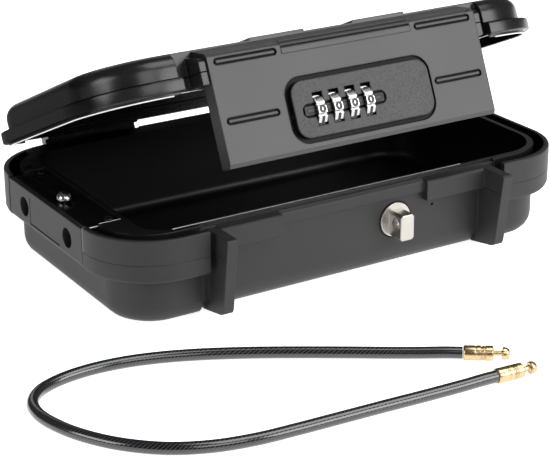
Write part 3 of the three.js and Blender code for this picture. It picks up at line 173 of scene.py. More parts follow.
# Crimped end of the cable: outline as radius and height in mm, and the slot across its tip
FERRULE_OUTLINE = [
    (0, 0), (2.75, 0), (3.0, 0.25), (3.1, 0.6), (3.1, 4.6), (2.95, 4.8), (2.95, 5.2), (3.1, 5.4), (3.1, 7.0),
    (2.7, 7.2), (2.7, 7.7), (3.1, 7.9), (3.1, 8.3), (2.8, 8.5), (2.8, 8.8), (3.1, 9.0), (3.1, 11.6), (2.8, 12),
    (1.35, 12), (1.0, 12.4), (1.0, 15.2), (1.3, 15.6), (2.3, 15.6), (2.6, 15.9), (2.6, 16.6), (2.45, 17.4),
    (1.95, 18.2), (1.1, 18.7), (0, 18.8),
]
FERRULE_GAP = 0.3 * MM
TIP_SLOT_LOW = Vector((-0.45, -3, 17.6)) * MM
TIP_SLOT_HIGH = Vector((0.45, 3, 20)) * MM

# Screws: height of the head, and the half length and half width of each bar of the cross as shares of its radius
SCREW_HEAD = 1.15 * MM
CROSS_REACH = 0.68
CROSS_HALF_WIDTH = 0.15

# Depths of the grain on plastic and of the brushing on metal
SMOOTH_GRAIN = 0.02 * MM
FINE_GRAIN = 0.06 * MM
COARSE_GRAIN = 0.3 * MM
POLISHED = 0.004 * MM
BRUSHED = 0.01 * MM


class StudioSettings(PropertyGroup):
    """Light and floor."""

    floor_shade: FloatProperty(name="Floor shade", description="How pale the floor is", default=0.9, min=0, max=1)
    floor_glow: FloatProperty(name="Floor glow", description="Light that the floor gives of itself",
                              default=0.95, min=0)
    world_light: FloatProperty(name="World light", description="Strength of the even light", default=0.08, min=0)
    key_light: FloatProperty(name="Key light", description="Power of the large overhead light",
                             default=14, min=0, subtype="POWER")
    face_light: FloatProperty(name="Face light", description="Power of the light that the lock cover mirrors",
                              default=23, min=0, subtype="POWER")
    side_light: FloatProperty(name="Side light", description="Power of the light at the left end",
                              default=9.5, min=0, subtype="POWER")
    front_light: FloatProperty(name="Front light", description="Power of the light that the lid's corner mirrors",
                               default=5, min=0, subtype="POWER")
    rear_light: FloatProperty(name="Rear light", description="Power of the light behind the lid",
                              default=1.5, min=0, subtype="POWER")


class FinishSettings(PropertyGroup):
    """Colours and grain of the finishes."""

    case_colour: FloatVectorProperty(name="Case", description="Colour of the moulded case", subtype="COLOR",
                                     default=(0.017, 0.017, 0.0176), min=0, max=1)
    lid_colour: FloatVectorProperty(name="Lid", description="Colour of the lid", subtype="COLOR",
                                    default=(0.008, 0.008, 0.0085), min=0, max=1)
    # Black of the black plastic parts; the same colour paints the shade in the case, in the grooves and on the lid's
    # ends
    inside_colour: FloatVectorProperty(name="Inside", description="Colour of the inside", subtype="COLOR",
                                       default=(0.004, 0.004, 0.0045), min=0, max=1)
    nickel_colour: FloatVectorProperty(name="Nickel", description="Colour of the strike stud", subtype="COLOR",
                                       default=(0.45, 0.43, 0.4), min=0, max=1)
    brass_colour: FloatVectorProperty(name="Brass", description="Colour of the cable ends", subtype="COLOR",
                                      default=(0.58, 0.44, 0.25), min=0, max=1)
    grain_size: FloatProperty(name="Grain size", description="Size of the moulded grain", subtype="DISTANCE",
                              default=0.00045, min=0.0001, max=0.01, precision=5)
    edge_round: FloatProperty(name="Edge rounding", description="Radius that softens the edges",
                              subtype="DISTANCE", default=0.0007, min=0, max=0.005, precision=5)


class CableSettings(PropertyGroup):
    """Sizes of the security cable."""

    diameter: FloatProperty(name="Diameter", description="Outside diameter of the sheath", subtype="DISTANCE",
                            default=0.005, min=0.001, max=0.02, precision=4)
    strands: IntProperty(name="Strands", description="Twisted strands seen through the sheath", default=9, min=3)
    lay_length: FloatProperty(name="Lay length", description="Length in which a strand goes once round",
                              subtype="DISTANCE", default=0.0125, min=0.002, max=0.1, precision=4)


class Value:
    """A shader socket with arithmetic: each expression on values adds its Math nodes."""

    def __init__(self, finish, socket):
        self.finish = finish
        self.socket = socket

    def math(self, operation, *others):
        return self.finish.node("ShaderNodeMath", {"operation": operation}, dict(enumerate((self, *others))))

    def __add__(self, other):
        return self.math("ADD", other)

    def __sub__(self, other):
        return self.math("SUBTRACT", other)

    def __mul__(self, other):
        return self.math("MULTIPLY", other)

    def __truediv__(self, other):
        return self.math("DIVIDE", other)

    def __rsub__(self, other):
        return self.finish.node("ShaderNodeMath", {"operation": "SUBTRACT"}, {0: other, 1: self})

    def __lt__(self, other):
        return self.math("LESS_THAN", other)

    def __gt__(self, other):
        return self.math("GREATER_THAN", other)

    def __abs__(self):
        return self.math("ABSOLUTE")

    def at_least(self, other):
        return self.math("MAXIMUM", other)

    def at_most(self, other):
        return self.math("MINIMUM", other)

    def sine(self):
        return self.math("SINE")

    def root(self):
        return self.math("SQRT")

    __radd__ = __add__
    __rmul__ = __mul__


class Finish:
    """A material that is built from nodes."""

    def __init__(self, name):
        self.material = bpy.data.materials.new(name)
        self.material.use_nodes = True
        self.tree = self.material.node_tree
        self.tree.nodes.clear()

    def node(self, kind, settings, sockets, output=0):
        """Adds a node with its settings, then the values or links of its sockets."""
        node = self.tree.nodes.new(kind)
        for name, value in settings.items():
            setattr(node, name, value)
        for name, value in sockets.items():
            if isinstance(value, Value):
                self.tree.links.new(value.socket, node.inputs[name])
            else:
                node.inputs[name].default_value = value
        return Value(self, node.outputs[output])

    def place(self, turn=0.0, about=(0, 0, 0)):
        """Object coordinates, turned back by an angle about an X line through a point."""
        place = self.node("ShaderNodeTexCoord", {}, {}, "Object")
        if turn == 0:
            return place
        offset = Vector(about) - Matrix.Rotation(turn, 3, "X") @ Vector(about)
        return self.node("ShaderNodeMapping", {"vector_type": "POINT"},
                         {"Vector": place, "Rotation": (turn, 0, 0), "Location": offset})

    def parts(self, vector):
        """The three numbers of a vector."""
        split = self.node("ShaderNodeSeparateXYZ", {}, {"Vector": vector}).socket.node
        return [Value(self, split.outputs[index]) for index in range(3)]

    def noise(self, vector, size, detail=2.0, roughness=0.5):
        return self.node("ShaderNodeTexNoise", {}, {"Vector": vector, "Scale": 1 / size, "Detail": detail,
                                                    "Roughness": roughness}, "Fac")

    def between(self, first, second, share):
        """A colour between two others."""
        mix = self.node("ShaderNodeMix", {"data_type": "RGBA"}, {"Factor": share}).socket.node
        for socket, colour in ((mix.inputs[6], first), (mix.inputs[7], second)):
            if isinstance(colour, Value):
                self.tree.links.new(colour.socket, socket)
            else:
                socket.default_value = (*colour, 1)
        return Value(self, mix.outputs[2])

    def bump(self, height, depth, edge_round=0.0, strength=1.0):
        """A normal from a height, on edges that look rounded."""
        sockets = {"Height": height, "Distance": depth, "Strength": strength}
        if edge_round > 0:
            sockets["Normal"] = self.node("ShaderNodeBevel", {"samples": 4}, {"Radius": edge_round})
        return self.node("ShaderNodeBump", {}, sockets)

    def shader(self, **sockets):
        """A Principled shader. Socket names have _ for a space."""
        return self.node("ShaderNodeBsdfPrincipled", {},
                         {name.replace("_", " "): value for name, value in sockets.items()})

    def surface(self, **sockets):
        """Ends the finish in a Principled surface."""
        return self.ended(self.shader(**sockets))

    def ended(self, shader):
        """Ends the finish in a shader."""
        output = self.tree.nodes.new("ShaderNodeOutputMaterial")
        self.tree.links.new(shader.socket, output.inputs["Surface"])
        return self.material


def shade(colour, factor):
    """A colour made darker or lighter."""
    return tuple(min(1.0, channel * factor) for channel in colour)


def outline_distance(x, y, half_length, half_depth, corner):
    """Distance outside a rounded rectangle about the middle, negative inside it."""
    across = (abs(x) - (half_length - corner)).at_least(0)
    along = (abs(y) - (half_depth - corner)).at_least(0)
    return (across * across + along * along).root() - corner


def line_mask(value, place, width):
    """1 on a line at a place, and 0 beyond its width."""
    return (1 - abs(value - place) / width).at_least(0)


def between_two(value, limits):
    """1 between two limits, and 0 outside them."""
    low, high = limits
    return (value > low) * (value < high)


def light_edges(x, y, z):
    """Marks the painted highlights on the inner edge on top of the front wall and on the edge beside the cable
    anchor.
    """
    across = between_two(y, WALL_EDGE)
    along = between_two(x, WALL_EDGE_REACH)
    anchor = line_mask(y, ANCHOR_EDGE, ANCHOR_EDGE_WIDTH) * (x < ANCHOR_EDGE_END) * (z > SEAM_HEIGHT)
    return (across * along * (z > RIM_EDGE)).at_least(anchor * 0.4)


def case_hollow(x, y, z):
    """Marks painted shade: black in the inside of the case and its rim groove, and shade under the band."""
    tub = outline_distance(x, y, TUB_HALF_LENGTH, TUB_HALF_DEPTH, TUB_CORNER)
    band = outline_distance(x, y, BAND_HALF_LENGTH, BAND_HALF_DEPTH, BAND_CORNER)
    inside = (tub < -TUB_WALL) * (z > TUB_FLOOR)
    inside = inside.at_least((band < -BAND_WALL) * (z > GROOVE_FLOOR))
    # The painted highlights on the edges are kept out of the painted shade
    inside = inside * (1 - light_edges(x, y, z))
    under_band = ((z - BAND_BOTTOM + BAND_SHADOW) / BAND_SHADOW).at_least(0) * (z < BAND_BOTTOM)
    inside = inside.at_least(under_band * 0.7)
    recess = (abs(x) < RECESS_HALF_WIDTH) * (y < FRONT_WALL)
    return inside * (1 - recess)


def cover_grooves(x, y, z):
    """Marks painted shade: black in what is sunk in the face of the lock cover, and darker on its sides."""
    sunk = (y > COVER_SUNK) * between_two(z, COVER_FACE) * (abs(x) < COVER_HALF_WIDTH)
    return sunk.at_least((abs(x) > COVER_SIDE) * 0.6)


def panel_grooves(x, y, z):
    """Marks painted shade on the sides, in the windows and in the sunk stadium of the dial panel, and a dark line
    inside the stadium.
    """
    middle = (STADIUM_LEFT + STADIUM_RIGHT) / 2
    edge = outline_distance(x - middle, z - STADIUM_MIDDLE, STADIUM_RIGHT - middle, STADIUM_HEIGHT / 2,
                            STADIUM_HEIGHT / 2)
    line = line_mask(edge, -STADIUM_LINE, STADIUM_LINE_WIDTH)
    return (y > PANEL_FRONT + PANEL_BEVEL).at_least(line)


def lid_shadow(x, y, z):
    """Marks painted shade on the line where the dome stands on the flange, and on the ends of the lid."""
    ends = ((abs(x) - LID_END) / LID_END_FADE).at_least(0).at_most(LID_END_SHADE)
    return between_two(z, DOME_GROOVE).at_least(ends)


def grained_plastic(name, colour, roughness, grain_depth, dark=None, turn=0.0, seams=False, mottle=0.28,
                    sheen=0.5, dark_sheen=0.08, coarse=1.0, pits=0.0):
    """Moulded plastic with a fine grain and a slow drift of tone.

    Where dark(x, y, z) marks it, it is black as painted shade, and in small pits it is black as grain. The mark and
    the grain are read with the lid shut, so plastic of the lid is turned by the lid's angle. Coarse makes the grain
    larger, and seams draws the seam line of the case and its painted highlights.
    """
    looks = bpy.context.scene.safe_finish
    finish = Finish(name)
    place = finish.place(turn, HINGE)
    x, y, z = finish.parts(place)
    grain_size = looks.grain_size * coarse
    grain = finish.noise(place, grain_size, 3.0, 0.65)
    drift = finish.noise(place, 35 * MM, 2.0)
    speckle = finish.noise(place, 2.2 * grain_size, 1.0)
    tone = grain * 0.34 + speckle * 0.2 + drift * 0.46
    surface_colour = finish.between(shade(colour, 1 - mottle), shade(colour, 1 + mottle), tone)
    height = grain + speckle * 0.6
    rough = roughness + (drift - 0.5) * 0.1 + (grain - 0.5) * 0.12
    if seams:
        seam = line_mask(z, SEAM_HEIGHT, SEAM_WIDTH) * (y < ANCHOR_FRONT) * (abs(x) > RIB_INNER)
        surface_colour = finish.between(surface_colour, shade(colour, 0.2), seam)
        # Painted highlights in pale grey on the front wall's inner edge and beside the anchor
        surface_colour = finish.between(surface_colour, (0.5, 0.5, 0.49), light_edges(x, y, z))
        height = height - seam * 8
    normal = finish.bump(height, grain_depth, looks.edge_round, 0.6)
    plastic = finish.shader(Base_Color=surface_colour, Roughness=rough, Normal=normal, Specular_IOR_Level=sheen)
    if dark is None:
        return finish.ended(plastic)
    # Black for painted shade where dark marks it, and for the small pits of the grain
    inside = tuple(looks.inside_colour)
    black = finish.shader(Base_Color=finish.between(shade(inside, 0.6), shade(inside, 1.4), tone),
                          Roughness=rough - 0.08, Normal=normal, Specular_IOR_Level=dark_sheen)
    marked = dark(x, y, z)
    if pits > 0:
        pit = finish.noise(place, 0.6 * MM, 1.0)
        marked = marked.at_least(((pit - 0.45) * 5).at_least(0).at_most(1) * pits)
    return finish.ended(finish.node("ShaderNodeMixShader", {}, {0: marked, 1: plastic, 2: black}))


def polished_metal(name, colour, roughness, brush_depth, stretch=(1, 1, 1), grime=0.35):
    """Plated or polished metal with faint brushing, a little tarnish and softened edges."""
    looks = bpy.context.scene.safe_finish
    finish = Finish(name)
    place = finish.place()
    stretched = finish.node("ShaderNodeMapping", {}, {"Vector": place, "Scale": stretch})
    brush = finish.noise(stretched, 0.7 * MM, 3.0, 0.6)
    stain = finish.noise(place, 4 * MM, 3.0, 0.6)
    metal = finish.between(shade(colour, 1 - grime), colour, stain * 0.5 + brush * 0.7)
    rough = roughness + (brush - 0.5) * 0.12 + (stain - 0.5) * 0.08
    normal = finish.bump(brush, brush_depth, looks.edge_round * 0.6, 0.5)
    return finish.surface(Base_Color=metal, Metallic=1.0, Roughness=rough, Normal=normal)


def sheath_finish():
    """Clear vinyl over dark twisted strands, drawn along the cable's own map."""
    cable = bpy.context.scene.safe_cable
    finish = Finish("cable_sheath")
    along, across, _ = finish.parts(finish.node("ShaderNodeTexCoord", {}, {}, "UV"))
    turns = cable_length() / cable.lay_length
    phase = (across * cable.strands + along * (turns * cable.strands)) * (2 * math.pi)
    strand = phase.sine() * 0.5 + 0.5
    wires = ((phase * 3).sine() * 0.5 + 0.5) * 0.25
    tone = (strand * strand * 0.8 + wires * strand).at_most(1)
    colour = finish.between((0.0015, 0.0015, 0.0017), (0.034, 0.035, 0.038), tone)
    scuff = finish.noise(finish.place(), 3 * MM, 3.0)
    normal = finish.bump(strand, 0.05 * MM, strength=0.25)
    return finish.surface(Base_Color=colour, Roughness=0.14 + scuff * 0.1, Normal=normal, Coat_Weight=0.6,
                          Coat_Roughness=0.06)


def flat_paint(name, colour, roughness):
    """Flat paint with a faint mottle."""
    finish = Finish(name)
    mottle = finish.noise(finish.place(), 0.6 * MM, 2.0)
    paint = finish.between(shade(colour, 0.85), shade(colour, 1.15), mottle)
    return finish.surface(Base_Color=paint, Roughness=roughness + (mottle - 0.5) * 0.1,
                          Normal=finish.bump(mottle, 0.02 * MM))


MATERIALS = {}


def finish_named(name):
    """Each finish is made once, when the first piece asks for it."""
    if name not in MATERIALS:
        looks = bpy.context.scene.safe_finish
        case, lid, inside = tuple(looks.case_colour), tuple(looks.lid_colour), tuple(looks.inside_colour)
        makers = {
            "case_plastic": lambda: grained_plastic("case_plastic", case, 0.5, FINE_GRAIN, dark=case_hollow,
                                                    seams=True, sheen=0.31, dark_sheen=0.3),
            "block_plastic": lambda: grained_plastic("block_plastic", case, 0.5, FINE_GRAIN, sheen=0.28),
            # The lock cover and the dial panel are the case's plastic made lighter: painted light, where their face
            # tilts up to the lamps
            "cover_plastic": lambda: grained_plastic("cover_plastic", shade(case, 1.6), 0.45, FINE_GRAIN,
                                                     dark=cover_grooves, turn=OPEN_ANGLE),
            "panel_plastic": lambda: grained_plastic("panel_plastic", shade(case, 1.5), 0.46, COARSE_GRAIN,
                                                     dark=panel_grooves, turn=OPEN_ANGLE, mottle=0.95, coarse=1.6,
                                                     pits=0.3),
            "lid_plastic": lambda: grained_plastic("lid_plastic", lid, 0.26, SMOOTH_GRAIN, dark=lid_shadow,
                                                   turn=OPEN_ANGLE, sheen=0.4, dark_sheen=0.0),
            "black_plastic": lambda: grained_plastic("black_plastic", inside, 0.2, SMOOTH_GRAIN, sheen=0.3),
            "chrome": lambda: polished_metal("chrome", (0.5, 0.5, 0.49), 0.24, POLISHED, grime=0.25),
            "nickel": lambda: polished_metal("nickel", tuple(looks.nickel_colour), 0.34, BRUSHED, (0.2, 1, 1), 0.2),
            "steel": lambda: polished_metal("steel", (0.42, 0.43, 0.44), 0.35, BRUSHED, (1, 0.2, 1)),
            "blackened": lambda: polished_metal("blackened", (0.03, 0.03, 0.031), 0.38, BRUSHED),
            "spring_steel": lambda: polished_metal("spring_steel", (0.6, 0.61, 0.62), 0.25, BRUSHED),
            "brass": lambda: polished_metal("brass", tuple(looks.brass_colour), 0.27, 1.5 * POLISHED, grime=0.3),
            "digit_black": lambda: flat_paint("digit_black", (0.004, 0.004, 0.004), 0.45),
            # Pale paint for the pieces that stand for highlights
            "painted_highlight": lambda: flat_paint("painted_highlight", (0.75, 0.75, 0.74), 0.4),
            "cable_sheath": sheath_finish,
        }
        MATERIALS[name] = makers[name]()
    return MATERIALS[name]


def deselect():
    """Leaves nothing selected, so that the next operator works on its own piece alone."""
    for piece in bpy.context.selected_objects:
        piece.select_set(False)


def choose(piece):
    """Makes a piece the only selected one."""
    deselect()
    piece.hide_set(False)
    piece.select_set(True)
    bpy.context.view_layer.objects.active = piece


def edit(piece):
    """Opens a piece for shaping, with its whole mesh selected."""
    choose(piece)
    bpy.ops.object.mode_set(mode="EDIT")
    bpy.ops.mesh.select_mode(type="VERT")
    bpy.ops.mesh.select_all(action="SELECT")


def done():
    """Ends the shaping of a piece."""
    bpy.ops.object.mode_set(mode="OBJECT")


def apply_place(piece):
    """Puts a piece's place into its mesh."""
    choose(piece)
    bpy.ops.object.transform_apply(location=True, rotation=True, scale=True)


def open_lid_place():
    """The matrix that carries a point of the shut lid to where it is at rest."""
    return Matrix.Translation(HINGE) @ Matrix.Rotation(-OPEN_ANGLE, 4, "X") @ Matrix.Translation(-HINGE)


def open_with_lid(piece):
    """Turns a piece that was modelled on the shut lid to where it is at rest."""
    piece.matrix_world = open_lid_place() @ piece.matrix_world
    apply_place(piece)


def set_finish(piece, finish):
    """Gives a piece its finish in place of the one it had."""
    piece.data.materials.clear()
    piece.data.materials.append(finish_named(finish))


def finish_piece(piece, name, body, finish, smooth=32):
    """Names a modelled piece, smooths it, gives it its finish and, with a body, lets it ride on that."""
    piece.name = name
    choose(piece)
    bpy.ops.object.shade_smooth_by_angle(angle=math.radians(smooth))
    set_finish(piece, finish)
    if body:
        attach(piece, body)
    return piece


def apply_modifier(piece, kind, **settings):
    """Adds a modifier with its settings and applies it."""
    choose(piece)
    modifier = piece.modifiers.new(kind.title(), kind)
    for name, value in settings.items():
        setattr(modifier, name, value)
    bpy.ops.object.modifier_apply(modifier=modifier.name)


def dress_node(node, body, finish, bevel=0.0, smooth=32):
    """Replaces a solid by a merged copy with smooth curves and, where asked, rounded edges."""
    piece = bpy.data.objects.new(f"{node}_dressed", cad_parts[node].data.copy())
    bpy.context.scene.collection.objects.link(piece)
    edit(piece)
    bpy.ops.mesh.customdata_custom_splitnormals_clear()
    bpy.ops.mesh.remove_doubles(threshold=1e-6)
    bpy.ops.mesh.dissolve_limited(angle_limit=math.radians(0.4))
    done()
    if bevel > 0:
        apply_modifier(piece, "BEVEL", width=bevel, segments=2, limit_method="ANGLE",
                       angle_limit=math.radians(36))
    finish_piece(piece, f"{node}_dressed", body, finish, smooth)
    apply_modifier(piece, "WEIGHTED_NORMAL", keep_sharp=True)
    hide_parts(node)
    return piece


def paint_node(node, finish):
    """Gives a solid that keeps its own mesh a better finish."""
    set_finish(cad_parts[node], finish)


def add_box(low, high):
    """A box between two corners."""
    middle = (Vector(low) + Vector(high)) / 2
    deselect()
    bpy.ops.mesh.primitive_cube_add(size=1, location=middle)
    piece = bpy.context.object
    piece.scale = Vector(high) - Vector(low)
    apply_place(piece)
    return piece


def cut_box(piece, low, high):
    """Takes the space of a box between two corners out of a piece."""
    cutter = add_box(low, high)
    apply_modifier(piece, "BOOLEAN", object=cutter, operation="DIFFERENCE", solver="EXACT")
    bpy.data.objects.remove(cutter)


def rounded_plate(low, high, corner, edge):
    """A plate in the XZ plane with round corners and a softened front edge."""
    piece = add_box(low, high)
    edit(piece)
    mesh = bmesh.from_edit_mesh(piece.data)
    for corner_edge in mesh.edges:
        way = corner_edge.verts[0].co - corner_edge.verts[1].co
        corner_edge.select_set(abs(way.y) > 0.9 * way.length)
    mesh.select_flush(False)
    bmesh.update_edit_mesh(piece.data)
    bpy.ops.mesh.select_mode(type="EDGE")
    bpy.ops.mesh.bevel(offset=corner, segments=8, affect="EDGES")
    mesh = bmesh.from_edit_mesh(piece.data)
    front = min(vert.co.y for vert in mesh.verts)
    for rim in mesh.edges:
        rim.select_set(all(abs(vert.co.y - front) < 1e-6 for vert in rim.verts))
    bmesh.update_edit_mesh(piece.data)
    bpy.ops.mesh.bevel(offset=edge, segments=2, affect="EDGES")
    done()
    return piece


def turned(profile, steps=40):
    """A turned piece on the Z axis from its profile of (radius, height), spun round."""
    deselect()
    bpy.ops.mesh.primitive_circle_add(vertices=3, radius=MM, location=(0, 0, 0))
    piece = bpy.context.object
    edit(piece)
    bpy.ops.mesh.merge(type="CENTER")
    radius, height = profile[0]
    bpy.ops.transform.translate(value=(radius, 0, height))
    for next_radius, next_height in profile[1:]:
        step = (next_radius - radius, 0, next_height - height)
        bpy.ops.mesh.extrude_region_move(TRANSFORM_OT_translate={"value": step})
        radius, height = next_radius, next_height
    bpy.ops.mesh.select_all(action="SELECT")
    bpy.ops.mesh.spin(steps=steps, angle=2 * math.pi, center=(0, 0, 0), axis=(0, 0, 1))
    bpy.ops.mesh.select_all(action="SELECT")
    bpy.ops.mesh.remove_doubles(threshold=1e-6)
    bpy.ops.mesh.normals_make_consistent(inside=False)
    done()
    return piece


def stand_at(piece, place, direction):
    """Moves a turned piece so that its Z axis points along a direction from a place."""
    turn = Vector((0, 0, 1)).rotation_difference(Vector(direction)).to_matrix().to_4x4()
    piece.matrix_world = Matrix.Translation(place) @ turn
    apply_place(piece)
    return piece


def along_lip(x, y):
    """Whether the lid's painted highlight is there: not along the hinges, nor in the notch of the lock."""
    return y < LIP_BACK and (y > LIP_FRONT or abs(x) > NOTCH_HALF_WIDTH + MM / 10)


def bead(half_length, half_depth, corner, height, thickness, kept):
    """A thin bead along the part of a rounded outline where kept(x, y) holds."""
    deselect()
    bpy.ops.mesh.primitive_plane_add(size=2, location=(0, 0, height))
    piece = bpy.context.object
    piece.scale = (half_length, half_depth, 1)
    apply_place(piece)
    edit(piece)
    bpy.ops.mesh.bevel(offset=corner, segments=14, affect="VERTICES")
    bpy.ops.mesh.select_all(action="SELECT")
    bpy.ops.mesh.delete(type="ONLY_FACE")
    for x in (-NOTCH_HALF_WIDTH, NOTCH_HALF_WIDTH):
        bpy.ops.mesh.select_all(action="SELECT")
        bpy.ops.mesh.bisect(plane_co=(x, 0, 0), plane_no=(1, 0, 0))
    mesh = bmesh.from_edit_mesh(piece.data)
    for vert in mesh.verts:
        vert.select_set(not kept(vert.co.x, vert.co.y))
    bmesh.update_edit_mesh(piece.data)
    bpy.ops.mesh.delete(type="VERT")
    done()
    choose(piece)
    bpy.ops.object.convert(target="CURVE")
    piece = bpy.context.object
    piece.data.bevel_depth = thickness / 2
    piece.data.bevel_resolution = 2
    piece.data.use_fill_caps = True
    bpy.ops.object.convert(target="MESH")
    return bpy.context.object


def blend(first, second, start, end, at):
    """The point between two others, where a value stands between two knots."""
    share = (at - start) / (end - start)
    return first * (1 - share) + second * share


def smooth_point(points, knots, at):
    """The point of a smooth curve through four points, at a knot value between the middle two."""
    before = blend(points[0], points[1], knots[0], knots[1], at)
    middle = blend(points[1], points[2], knots[1], knots[2], at)
    after = blend(points[2], points[3], knots[2], knots[3], at)
    before = blend(before, middle, knots[0], knots[2], at)
    after = blend(middle, after, knots[1], knots[3], at)
    return blend(before, after, knots[1], knots[2], at)


def cable_line():
    """Close points along the cable: a smooth curve through the route, by centripetal steps."""
    route = [Vector(point) * MM for point in CABLE_ROUTE]
    padded = [2 * route[0] - route[1], *route, 2 * route[-1] - route[-2]]
    line = []
    for before, start, end, after in zip(padded, padded[1:], padded[2:], padded[3:]):
        knots = [0.0]
        for first, second in ((before, start), (start, end), (end, after)):
            knots.append(knots[-1] + math.sqrt((second - first).length))
        for step in range(CABLE_STEPS):
            at = knots[1] + (knots[2] - knots[1]) * step / CABLE_STEPS
            line.append(smooth_point((before, start, end, after), knots, at))
    return [*line, route[-1]]


def cable_length():
    """Length of the cable between its crimped ends."""
    line = cable_line()
    return sum((second - first).length for first, second in zip(line, line[1:]))


class SAFE_OT_studio(Operator):
    """Adds the camera at the photograph's place, the soft lights and the pale floor."""

    bl_idname = "safe.studio"
    bl_label = "Studio"

    def execute(self, context):
        studio = context.scene.safe_studio
        self.add_camera(context)
        self.add_lights(context, studio)
        self.add_backdrop(context, studio)
        self.add_floor(context, studio)
        return {"FINISHED"}

    def add_camera(self, context):
        """The camera, turned about Z, tipped down and slightly rolled."""
        turn = (Matrix.Rotation(-CAMERA_YAW, 4, "Z") @ Matrix.Rotation(math.pi / 2 - CAMERA_PITCH, 4, "X")
                @ Matrix.Rotation(CAMERA_ROLL, 4, "Z"))
        deselect()
        bpy.ops.object.camera_add(location=CAMERA_PLACE, rotation=turn.to_euler())
        camera = context.object
        camera.data.lens = CAMERA_LENS
        camera.data.sensor_width = CAMERA_SENSOR
        camera.data.sensor_fit = "HORIZONTAL"
        camera.data.clip_start = 0.01
        context.scene.camera = camera

    def add_lights(self, context, studio):
        """Soft lights, each by its place, the point that it faces, its power, width and height."""
        lights = [
            ("overhead", (0.45, -0.45, 1.3), (0.45, -0.44, 0), studio.key_light, 1.1, 0.9),
            ("face", (0.85, -1.4, 0.72), (0, -0.05, 0.08), studio.face_light, 1.2, 0.9),
            ("side", (-1.5, -0.15, 0.68), (-0.11, -0.03, 0.09), studio.side_light, 0.8, 0.7),
            ("front", (-0.25, -1.35, 0.95), (-0.09, -0.05, 0.09), studio.front_light, 0.7, 0.6),
            ("rear", (0.5, 1.3, 0.8), (0, 0, 0.05), studio.rear_light, 1.2, 0.5),
        ]
        for name, place, target, power, width, height in lights:
            aim = (Vector(target) - Vector(place)).to_track_quat("-Z", "Y").to_euler()
            deselect()
            bpy.ops.object.light_add(type="AREA", location=place, rotation=aim)
            light = context.object
            light.name = f"{name}_light"
            light.data.shape = "RECTANGLE"
            light.data.size = width
            light.data.size_y = height
            light.data.energy = power

    def add_backdrop(self, context, studio):
        """An even light that the camera sees as white."""
        world = bpy.data.worlds.new("studio")
        world.use_nodes = True
        nodes, links = world.node_tree.nodes, world.node_tree.links
        backdrop = nodes["Background"]
        backdrop.inputs["Color"].default_value = (1, 1, 1, 1)
        strength = nodes.new("ShaderNodeMapRange")
        strength.inputs["To Min"].default_value = studio.world_light
        strength.inputs["To Max"].default_value = 1
        seen = nodes.new("ShaderNodeLightPath")
        links.new(seen.outputs["Is Camera Ray"], strength.inputs["Value"])
        links.new(strength.outputs["Result"], backdrop.inputs["Strength"])
        context.scene.world = world
        context.scene.view_settings.view_transform = "Standard"

    def add_floor(self, context, studio):
        """The pale floor, a hair under the part."""
        deselect()
        bpy.ops.mesh.primitive_plane_add(size=8, location=(0, 0, -0.02 * MM))
        floor = context.object
        floor.name = "floor"
        finish = Finish("floor_white")
        tone = finish.noise(finish.place(), 0.6, 2.0)
        pale = finish.between((studio.floor_shade,) * 3, (studio.floor_shade * 1.01,) * 3, tone)
        floor.data.materials.append(finish.surface(Base_Color=pale, Roughness=0.6, Emission_Color=pale,
                                                   Emission_Strength=studio.floor_glow))


class SAFE_OT_cable(Operator):
    """Models the security cable along its route and its two crimped brass ends."""

    bl_idname = "safe.cable"
    bl_label = "Security cable"

    def execute(self, context):
        cable = context.scene.safe_cable
        line = cable_line()
        tube = self.add_sheath(context, line, cable.diameter)
        pieces = [self.add_end("cable_end_upper", line[0], line[0] - line[1]),
                  self.add_end("cable_end_lower", line[-1], line[-1] - line[-2])]
        cable_length()
        return {"FINISHED"}

    def add_sheath(self, context, line, diameter):
        """A round tube along the cable's line."""
        curve = bpy.data.curves.new("cable_line", "CURVE")
        curve.dimensions = "3D"
        spline = curve.splines.new("POLY")
        spline.points.add(len(line) - 1)
        for point, place in zip(spline.points, line):
            point.co = (*place, 1)
        curve.bevel_depth = diameter / 2
        curve.bevel_resolution = 6
        curve.use_fill_caps = True
        tube = bpy.data.objects.new("security_cable_sheath", curve)
        context.scene.collection.objects.link(tube)
        choose(tube)
        bpy.ops.object.convert(target="MESH")
        tube = finish_piece(context.object, "security_cable_sheath", "root", "cable_sheath", 50)
        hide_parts("security_cable")
        return tube

    def add_end(self, node, place, way):
        """A crimped end with a slotted tip, which lies level and points away from the cable."""
        way = Vector((way.x, way.y, 0)).normalized()
        end = turned([(radius * MM, height * MM) for radius, height in FERRULE_OUTLINE], 48)
        cut_box(end, TIP_SLOT_LOW, TIP_SLOT_HIGH)
        stand_at(end, place + way * FERRULE_GAP, way)
        finish_piece(end, f"{node}_brass", "root", "brass", 35)
        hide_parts(node)
        return end


class SAFE_OT_case(Operator):
    """Dresses the case, its seams and the painted shade of its inside."""

    bl_idname = "safe.case"
    bl_label = "Case"

    def execute(self, context):
        dress_node("base_shell", "root", "case_plastic")
        return {"FINISHED"}


